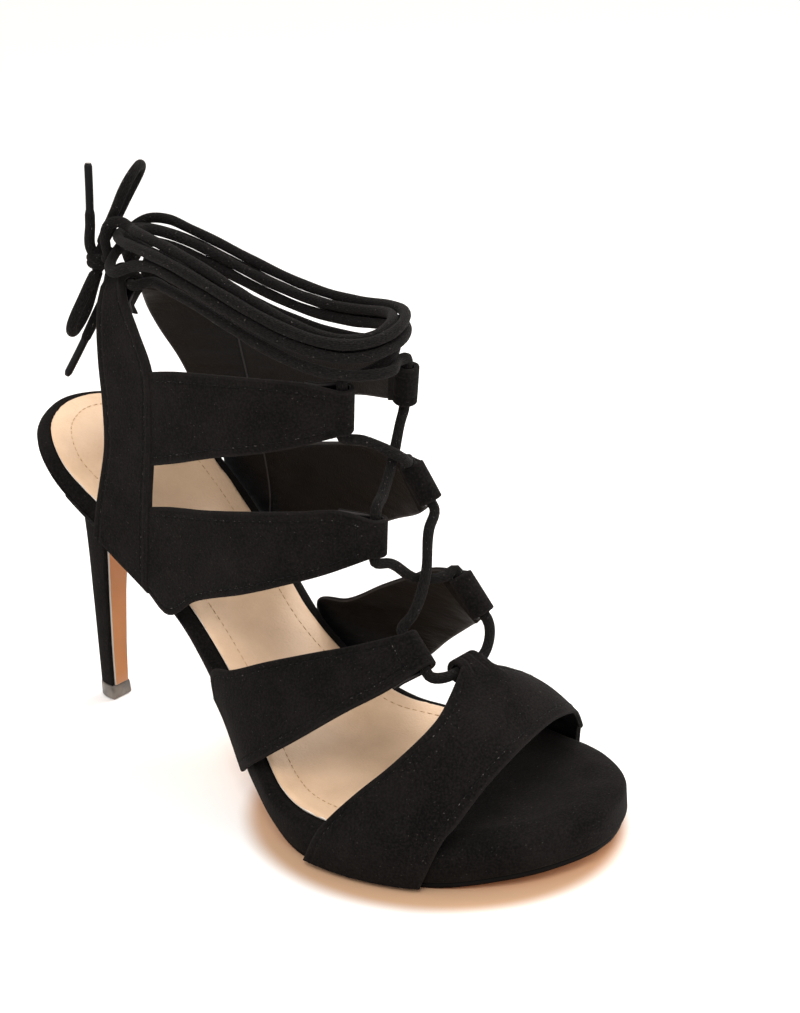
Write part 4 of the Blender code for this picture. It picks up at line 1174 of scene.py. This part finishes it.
def front_strap(sign, table):
    """A cross strap that rises from the sole's edge to the instep, and its tunnel's middle line."""
    roots = root_rows(sign, FRONT_STRAP_ROOT, FRONT_STRAP_HIGH_ROOT, SPINE_COLUMNS, *STRAP_TUCKS)
    rows = smooth_points(roots + section_rows(table, sign, SPINE_COLUMNS), CURVE_STEPS)
    inside = (0.0, RING_MIDDLE, rows[-1][0][2])
    folded, middle = folded_end(rows, inside)
    return Strap(folded, inside, fold_start(folded)), middle


def tab_rows():
    """The rows of the vamp's sheet between which the centre tab rises."""
    return [CURVE_STEPS * (k + 2) for k in VAMP_TAB_ROWS]


def vamp():
    """The band over the toes, whose back edge sweeps up to the centre tab, and the tab's fold."""
    sections = [across(row[:3], row[3:], VAMP_COLUMNS, VAMP_BULGE) for row in VAMP]
    outer, inner = (root_rows(sign, VAMP_ROOT, VAMP_HIGH_ROOT, VAMP_COLUMNS, *VAMP_TUCKS) for sign in (-1, 1))
    band = smooth_points(outer + sections + inner[::-1], CURVE_STEPS)
    first, last = tab_rows()
    raised = np.array([(side, TAB_FORWARD, TAB_UP) for side in np.linspace(*TAB_SIDES, last - first + 1)])
    ends = np.concatenate([[raised[0]] * first, raised, [raised[-1]] * (len(band) - last - 1)])
    fade = np.clip(1 - np.arange(VAMP_COLUMNS + 1) / NECK_COLUMNS, 0, 1)[:, None] ** NECK_CURVE
    for k, row in enumerate(band):
        sweep = NECK_SWEEP[0] if k < first else NECK_SWEEP[1]
        beyond = max(first - k, k - last, 0) / (sweep * CURVE_STEPS)
        row += (ends[k] - row[0]) * (1 - ease(beyond)) ** NECK_CURVE * fade
    under_tab = [band[first:last + 1, k] for k in range(VAMP_COLUMNS // 2 + 1, -1, -1)]
    folded, middle = folded_end(under_tab, (0.0, 0.0, under_tab[-1][0][2] - UNDER_TAB), TAB_FOLD)
    fold = folded[fold_start(folded) - 2:]
    return Strap(band, IN_VAMP, len(band)), Strap(fold, middle.mean(axis=0), 0), middle


def strap_form(straps, faces):
    """The walls of some straps as one piece, whose outer and inner faces stand this far from their sheets."""
    form = Form()
    for strap, (outer, inner) in zip(straps, faces):
        wall(form, strap.grid, strap.normals, outer, inner)
    return form


# ---------------------------------------------------------------- stitches

def stitch_tree():
    """Geometry nodes that lay a stitch at each step along lines."""
    tree = bpy.data.node_groups.new("row_of_stitches", "GeometryNodeTree")
    inputs = {}
    for name, kind in (("Lines", "Geometry"), ("Pitch", "Float"), ("Stitch length", "Float"),
                       ("Thread radius", "Float"), ("Seed", "Int"), ("Thread", "Material")):
        inputs[name] = tree.interface.new_socket(name, in_out="INPUT", socket_type=f"NodeSocket{kind}")
    tree.interface.new_socket("Stitches", in_out="OUTPUT", socket_type="NodeSocketGeometry")

    def node(kind, settings=None, values=None):
        return add_node(tree, kind, settings, values)

    given = node("NodeGroupInput").outputs
    curve = node("GeometryNodeMeshToCurve", values={"Mesh": given["Lines"]})
    even = node("GeometryNodeResampleCurve", {"mode": "LENGTH"},
                {"Curve": curve.outputs["Curve"], "Length": given["Pitch"]})
    stitch = node("GeometryNodeMeshUVSphere", values={"Segments": 7, "Rings": 4, "Radius": 1.0})
    way = node("GeometryNodeInputTangent")
    turn = node("FunctionNodeAlignRotationToVector", {"axis": "Z"}, {"Vector": way.outputs["Tangent"]})
    half = node("ShaderNodeMath", {"operation": "MULTIPLY"}, {0: given["Stitch length"], 1: 0.5})
    uneven = node("FunctionNodeRandomValue", {"data_type": "FLOAT"},
                  {2: 0.86, 3: 1.1, "Seed": given["Seed"]})
    long = node("ShaderNodeMath", {"operation": "MULTIPLY"},
                {0: half.outputs[0], 1: uneven.outputs[1]})
    size = node("ShaderNodeCombineXYZ", values={"X": given["Thread radius"], "Y": given["Thread radius"],
                                                "Z": long.outputs[0]})
    laid = node("GeometryNodeInstanceOnPoints", values={
        "Points": even.outputs["Curve"], "Instance": stitch.outputs["Mesh"],
        "Rotation": turn.outputs["Rotation"], "Scale": size.outputs["Vector"]})
    real = node("GeometryNodeRealizeInstances", values={"Geometry": laid.outputs["Instances"]})
    dyed = node("GeometryNodeSetMaterial", values={"Geometry": real.outputs["Geometry"],
                                                   "Material": given["Thread"]})
    smooth = node("GeometryNodeSetShadeSmooth", values={"Geometry": dyed.outputs["Geometry"]})
    tree.links.new(smooth.outputs["Geometry"], node("NodeGroupOutput").inputs["Stitches"])
    return tree, inputs


def grown_mesh(name, base, tree, inputs, values):
    """The plain mesh that a tree of geometry nodes makes from a base mesh."""
    carrier = add_object(name, base)
    modifier = carrier.modifiers.new("rows", "NODES")
    modifier.node_group = tree
    for key, value in values.items():
        modifier[inputs[key].identifier] = value
    graph = bpy.context.evaluated_depsgraph_get()
    mesh = bpy.data.meshes.new_from_object(carrier.evaluated_get(graph))
    mesh.name = name
    bpy.data.objects.remove(carrier)
    return mesh


def line_mesh(name, lines):
    """Mesh edges along lines of points in mm."""
    points = []
    edges = []
    for line in lines:
        edges += [(len(points) + k, len(points) + k + 1) for k in range(len(line) - 1)]
        points += list(line)
    mesh = bpy.data.meshes.new(name)
    mesh.from_pydata(to_metres(points).tolist(), edges, [])
    return mesh


# ---------------------------------------------------------------- lace

def ring_point(turn, level=0.0, radial=0.0):
    """A point of the ring: turn is 0 degrees at the back, 90 on the outer side, 180 in front."""
    angle = math.radians(turn)
    width = RING_HALF_WIDTH * (1 - RING_TAPER * math.cos(angle))
    outward_way = unit(np.array([-math.sin(angle) / width, -math.cos(angle) / RING_HALF_LENGTH]))
    side = -width * math.sin(angle) + outward_way[0] * radial
    forward = RING_MIDDLE - RING_HALF_LENGTH * math.cos(angle) + outward_way[1] * radial
    double_cos, double_sin, triple_sin = RING_WAVES
    up = (RING_HEIGHT + RING_BACK_RISE * math.cos(angle) + RING_OUTER_RISE * math.sin(angle)
          + double_cos * math.cos(2 * angle) + double_sin * math.sin(2 * angle)
          + triple_sin * math.sin(3 * angle) + level)
    return np.array([side, forward, up])


def tunnel_line(middle, start_first=True):
    """The lace's straight way through a tunnel, a little past both of its mouths."""
    ends = (middle[0], middle[-1]) if start_first else (middle[-1], middle[0])
    way = unit(ends[1] - ends[0]) * MOUTH_REACH
    return [ends[0] - way, ends[0], ends[1], ends[1] + way]


def wrap_level(travel, tunnel_travel, tunnel_level):
    """The level of one end's turns: down to the tunnel on the first half turn, then steadily up."""
    into, out = tunnel_travel
    if travel < into:
        start = LOWEST_TURN - START_DROP
        return start + (tunnel_level - start) * ease((travel - WRAP_START) / (into - WRAP_START))
    steady = LOWEST_TURN + TURN_RISE * travel / 360
    return tunnel_level + (steady - tunnel_level) * ease((travel - out) / CLIMB)


def spine_pass(turn):
    """How much the turn that lies over the top of the outer spine is moved there, from 0 to 1."""
    return ease(1 - abs(turn) / SPINE_PASS["reach"])


def wrap_points(sense, tunnel, top, tail):
    """The turns of one end of the lace, from the front of the ankle to the knot behind it.

    sense is 1 for the end that starts towards the inner side, and -1 for the other. On its first
    half turn it runs through the tunnel at the top of a spine.
    """
    points = []
    inside_tunnel = tunnel_line(tunnel, False)
    mouths = sorted((sense * angle - 180) % 360 for angle in top["angles"])
    start = int(WRAP_START / RING_STEP)
    end = int((HALF_TURNS * 180 - WRAP_END) / RING_STEP)
    for k in range(start, end + 1):
        travel = k * RING_STEP
        if mouths[0] - RING_STEP < travel < mouths[1] + RING_STEP:
            points += inside_tunnel
            inside_tunnel = []
            continue
        layer = LAYER_STEP * (2 * ease((travel - WRAP_START) / LAYER_START) - 1)
        level = wrap_level(travel, mouths, top["level"])
        over = spine_pass(travel - 180 - SPINE_PASS["turn"]) if sense > 0 else 0.0
        points.append(ring_point(180 + sense * travel, level + SPINE_PASS["level"] * over,
                                 sense * layer + SPINE_PASS["radial"] * over))
    return points + [ring_point(*row) for row in tail] + [np.add(KNOT, TAIL_ENDS[sense])]


def crossing(first, second):
    """Where two straight runs of the lace pass each other, and the direction out of the instep there."""
    along, other, apart = first[1] - first[0], second[1] - second[0], first[0] - second[0]
    shared = along @ other
    spread = (along @ along) * (other @ other) - shared ** 2
    place = first[0] + along * (shared * (other @ apart) - (other @ other) * (along @ apart)) / spread
    passed = second[0] + other * ((along @ along) * (other @ apart) - shared * (along @ apart)) / spread
    out = unit(np.cross(along, other))
    return (place + passed) / 2, out * np.sign(out[1])


def slack(mouth, middle, other_mouth):
    """A run of lace between two tunnels, which turns soon after each mouth."""
    first, last = (end + (middle - end) * MOUTH_TURN for end in (mouth, other_mouth))
    return [first, middle, last]


def front_points(outer, inner, tab, start, end):
    """The lace down the instep and up again: through the straps' tunnels, crossing twice, and the tab.

    outer and inner each give the tunnels of the top, middle and front strap, from their upper end.
    """
    (top_out, middle_out, front_out), (top_in, middle_in, front_in) = outer, inner
    high, high_out = crossing((top_out[-1], middle_in[0]), (top_in[-1], middle_out[0]))
    low, low_out = crossing((middle_in[-1], front_out[0]), (middle_out[-1], front_in[0]))
    high += HIGH_CROSSING_MOVE
    low += LOW_CROSSING_MOVE
    return [*start, *tunnel_line(top_out),
            *slack(top_out[-1], high + high_out * LACE_SIDE_STEP, middle_in[0]), *tunnel_line(middle_in),
            *slack(middle_in[-1], low + low_out * LACE_SIDE_STEP, front_out[0]), *tunnel_line(front_out),
            *tunnel_line(tab), *tunnel_line(front_in, False),
            *slack(front_in[0], low - low_out * LACE_SIDE_STEP, middle_out[-1]),
            *tunnel_line(middle_out, False),
            *slack(middle_out[0], high - high_out * LACE_SIDE_STEP, top_in[-1]),
            *tunnel_line(top_in, False), *end]


def lace_radius(travel):
    """The lace's radius along it: even, give or take the hand of the knitting."""
    uneven = [share * math.sin(travel * turns + start) for share, turns, start in LACE_WAVES]
    return CORD_DIAMETER / 2 * (1 + uneven[0] + uneven[1])


def end_radius(travel, length):
    """The same, drawn in to the hard tip at the lace's end."""
    into_tip = ease((travel - (length - AGLET_LENGTH)) / AGLET_BLEND)
    return lace_radius(travel) * (1 - into_tip) + AGLET_RADIUS * into_tip


def tube_mesh(name, lines, materials, tip_length=0.0):
    """Round laces along lines of points in mm, with rounded ends and a map of their surface.

    Where there is a hard tip, its length ends each of them.
    """
    points = []
    faces = []
    slots = []
    chart = []
    around = math.pi * CORD_DIAMETER
    turns = [math.tau * j / TUBE_SIDES for j in range(TUBE_SIDES)]
    for line in lines:
        ways = unit(np.gradient(line, axis=0))
        travel = travel_along(line)
        side = unit(np.cross(ways[0], NO_LACE_WAY))
        start = len(points)
        for place, way, reach in zip(line, ways, travel):
            side = unit(side - way * (side @ way))
            other = np.cross(way, side)
            size = end_radius(reach, travel[-1]) if tip_length else lace_radius(reach)
            near_end = min(reach, travel[-1] - reach) / size
            if near_end < CORD_END:
                size *= 1 - CORD_END_DRAWN * (1 - near_end / CORD_END)
            points += [place + size * (side * math.cos(turn) + other * math.sin(turn)) for turn in turns]
        faces += ring_faces(TUBE_SIDES, len(line), start)
        for low, high in zip(travel, travel[1:]):
            slots += [1 if tip_length and low > travel[-1] - tip_length else 0] * TUBE_SIDES
            for j in range(TUBE_SIDES):
                left, right = j / TUBE_SIDES, (j + 1) / TUBE_SIDES
                chart += [left, low / around, right, low / around, right, high / around, left, high / around]
        for base, slot, order in ((start, 0, -1), (len(points) - TUBE_SIDES, 2 if tip_length else 0, 1)):
            faces.append(tuple(range(base, base + TUBE_SIDES))[::order])
            slots.append(slot)
            chart += [0.5, 0.5] * TUBE_SIDES
    mesh = new_mesh(name, points, faces, slots, materials)
    mesh.uv_layers.new(name="lace").data.foreach_set("uv", chart)
    return facing_out(mesh)


def bow_loop(start, tip, finish):
    """Points along a loop of the bow: two legs out of the knot and a round turn at its tip."""
    start, tip, finish = (np.array(point) for point in (start, tip, finish))
    along = unit(tip - (start + finish) / 2)
    across = start - finish
    across = unit(across - along * (along @ across))
    middle = tip - along * LOOP_TURN
    turn = [middle + LOOP_TURN * (across * math.cos(angle) + along * math.sin(angle))
            for angle in np.radians(np.arange(-LOOP_PAST, 181 + LOOP_PAST, LOOP_STEP))]
    return [start, (start * 2 + turn[0]) / 3, (start + turn[0] * 2) / 3, *turn,
            (turn[-1] * 2 + finish) / 3, (turn[-1] + finish * 2) / 3, finish]


def knot_lines():
    """The lace wrapped twice across the middle of the bow, round the strands that it holds."""
    wraps = []
    for step in range(KNOT_WRAP["steps"] + 1):
        share = step / KNOT_WRAP["steps"]
        turn = math.tau * KNOT_WRAP["turns"] * share + KNOT_WRAP["start"]
        wraps.append(np.add(KNOT, (KNOT_WRAP["side"] * math.cos(turn), KNOT_WRAP["forward"] * math.sin(turn),
                                   KNOT_WRAP["low"] + KNOT_WRAP["rise"] * share)))
    held = [even_points(smooth_points([top, np.add(KNOT, middle), bottom], KNOT_STEPS), KNOT_POINT_STEP)
            for top, middle, bottom in ((UPPER_LOOP[0], (0.4, 0.2, 0.0), LOWER_LOOP[0]),
                                        (UPPER_LOOP[-1], (1.2, 0.2, 0.0), LOWER_END[0]),
                                        (UPPER_END[0], (-0.8, 0.2, 0.0), LOWER_LOOP[-1]))]
    return [np.array(wraps)] + held


def bow_piece(name, route, node, far_end, finishes):
    """A free loop or end of the bow."""
    line = smooth_points(route, BOW_STEPS)
    mesh = tube_mesh(name, [line], finishes, AGLET_LENGTH if far_end == "bare" else 0.0)
    piece = add_piece(mesh, "black_lace", node)
    path = to_metres(line).tolist()
    return piece


# ---------------------------------------------------------------- studio

def add_camera():
    turn, height, roll = (math.radians(angle) for angle in (CAMERA_AZIMUTH, CAMERA_ELEVATION, CAMERA_ROLL))
    back = Vector((math.sin(turn) * math.cos(height), -math.cos(turn) * math.cos(height), math.sin(height)))
    right = Vector((math.cos(turn), math.sin(turn), 0.0))
    up = back.cross(right)
    rolled_right = right * math.cos(roll) + up * math.sin(roll)
    rolled_up = up * math.cos(roll) - right * math.sin(roll)
    data = bpy.data.cameras.new("camera")
    data.lens = CAMERA_LENS
    camera = add_object("camera", data)
    camera.matrix_world = Matrix((rolled_right, rolled_up, back)).transposed().to_4x4()
    camera.location = CAMERA_PLACE
    bpy.context.scene.camera = camera


def add_area_light(name, place, aim, size, power, colour):
    data = bpy.data.lights.new(name, "AREA")
    data.shape = "DISK"
    data.size = size
    data.energy = power
    data.color = colour
    light = add_object(name, data)
    light.location = place
    light.rotation_euler = (Vector(aim) - Vector(place)).to_track_quat("-Z", "Y").to_euler()


def add_studio():
    """A white floor, a bright even room and three soft lamps."""
    floor_mesh = bpy.data.meshes.new("floor")
    sheet = bmesh.new()
    bmesh.ops.create_grid(sheet, x_segments=1, y_segments=1, size=FLOOR_HALF)
    sheet.to_mesh(floor_mesh)
    sheet.free()
    floor_mesh.materials.append(studio_paper("studio_paper"))
    floor = add_object("floor", floor_mesh)
    floor.location.z = -FLOOR_DROP
    world = bpy.data.worlds.new("studio")
    world.use_nodes = True
    room = world.node_tree.nodes["Background"].inputs
    room["Color"].default_value = ROOM_COLOUR
    room["Strength"].default_value = ROOM_LIGHT
    bpy.context.scene.world = world
    for lamp in LAMPS:
        add_area_light(*lamp)
    bpy.context.scene.view_settings.view_transform = "Standard"
    bpy.context.scene.view_settings.look = "None"


# ---------------------------------------------------------------- the shoe

def main():
    noise.seed_set(WAVER_SEED)
    add_camera()
    lace_finish = knitted_lace("black_lace_knit")
    leather = {name: smooth_leather(name, *look) for name, look in LEATHERS.items()}
    for name, route, node, far_end in [
            ("bow_loop_upper", bow_loop(*UPPER_LOOP), "lace_loop_upper", "object"),
            ("bow_loop_lower", bow_loop(*LOWER_LOOP), "lace_loop_lower", "object"),
            ("bow_end_upper", [UPPER_END_ROOT] + UPPER_END, "lace_end_upper", "bare"),
            ("bow_end_lower", LOWER_END, "lace_end_lower", "bare")]:
        bow_piece(name, route, node, far_end, [lace_finish, leather["aglet_plastic"], leather["aglet_cut"]])

    black = suede("black_suede_nap")
    for name, form, finishes, slot, node in [
            ("platform_cover", platform(), [black], "black_suede", "platform"),
            ("padded_sock", sock(), [leather["tan_sock_leather"], leather["sock_edge_highlight"]],
             "tan_sock", "insole"),
            ("thin_outsole", outsole(), [leather["tan_outsole_leather"], leather["painted_edge"]],
             "outsole", "outsole"),
            ("covered_heel", ringed(heel_sections()), [black], "black_suede", "heel"),
            ("breast_cover", heel_breast(), [leather["tan_breast_leather"], leather["breast_edge_highlight"]],
             "tan_breast", "heel_breast"),
            ("heel_tip", top_piece(), [hard_rubber("dark_tip")], "top_piece", "top_piece")]:
        add_piece(form.mesh(name, finishes), slot, node)

    outer, outer_tunnels = quarter(-1, OUTER_SPINE, OUTER_TOP, (OUTER_TOP_STRAP, OUTER_MIDDLE_STRAP))
    inner, inner_tunnels = quarter(1, INNER_SPINE, INNER_TOP, (INNER_TOP_STRAP, INNER_MIDDLE_STRAP))
    outer_front, outer_front_tunnel = front_strap(-1, OUTER_FRONT_STRAP)
    inner_front, inner_front_tunnel = front_strap(1, INNER_FRONT_STRAP)
    band, tab, tab_tunnel = vamp()
    plain = (SUEDE_HALF, SUEDE_HALF)
    quarter_faces = [(SPINE_OUTER, SPINE_INNER), plain, plain]
    suede_and_lining = [black, lining("black_lining")]
    for name, straps, faces, node in [
            ("outer_quarter", outer, quarter_faces, "quarter_outer"),
            ("inner_quarter", inner, quarter_faces, "quarter_inner"),
            ("outer_front_strap", [outer_front], [plain], "front_strap_outer"),
            ("inner_front_strap", [inner_front], [plain], "front_strap_inner"),
            ("toe_band", [band, tab], [plain, (SUEDE_HALF + TAB_SPARE, SUEDE_HALF + TAB_SPARE)], "vamp")]:
        add_piece(strap_form(straps, faces).mesh(name, suede_and_lining), "black_suede", node)

    tree, inputs = stitch_tree()
    lines = []
    for pieces in (outer, inner):
        lines += pieces[0].seams(SPINE_OUTER, False)
        for strap in pieces[1:]:
            lines += strap.seams(SUEDE_HALF)
    for strap in (outer_front, inner_front):
        lines += strap.seams(SUEDE_HALF)
    tab_start, tab_end = tab_rows()
    seam_end = len(band.grid) - SEAM_START
    for side, first, last in ((0, SEAM_START, tab_start - TAB_SEAM_GAPS[0]),
                              (0, tab_end + TAB_SEAM_GAPS[1], seam_end), (-1, SEAM_START, seam_end)):
        lines.append(band.along(side, SEAM_INSET, first, last, SUEDE_HALF))
    for name, rows, dyed, slot, seed in [
            ("upper_stitches", lines, "black_thread", "black_lace", 3),
            ("sock_stitches", sock_seam(), "tan_thread", "tan_sock", 5)]:
        finish = thread(dyed, *THREADS[dyed])
        values = {"Pitch": STITCH_PITCH * MM, "Stitch length": STITCH_LENGTH * MM,
                  "Thread radius": STITCH_RADIUS * MM, "Seed": seed, "Thread": finish}
        add_piece(grown_mesh(name, line_mesh(name + "_lines", rows), tree, inputs, values), slot)

    inner_wrap = wrap_points(1, inner_tunnels[0], INNER_TOP, INNER_TAIL)
    outer_wrap = wrap_points(-1, outer_tunnels[0], OUTER_TOP, OUTER_TAIL)
    route = front_points((*outer_tunnels[1:], outer_front_tunnel), (*inner_tunnels[1:], inner_front_tunnel),
                         tab_tunnel, inner_wrap[::-1] + [ring_point(*row) for row in INNER_START[::-1]],
                         [ring_point(*row) for row in OUTER_START] + outer_wrap)
    lace = even_points(smooth_points(route, ROUTE_STEPS), LACE_POINT_STEP)
    add_piece(tube_mesh("lace", [lace], [lace_finish]), "black_lace",
              "front_lace", "ankle_lace_inner", "ankle_lace_outer")
    add_piece(tube_mesh("bow_knot", knot_lines(), [lace_finish]), "black_lace", "lace_knot")
    add_studio()


main()
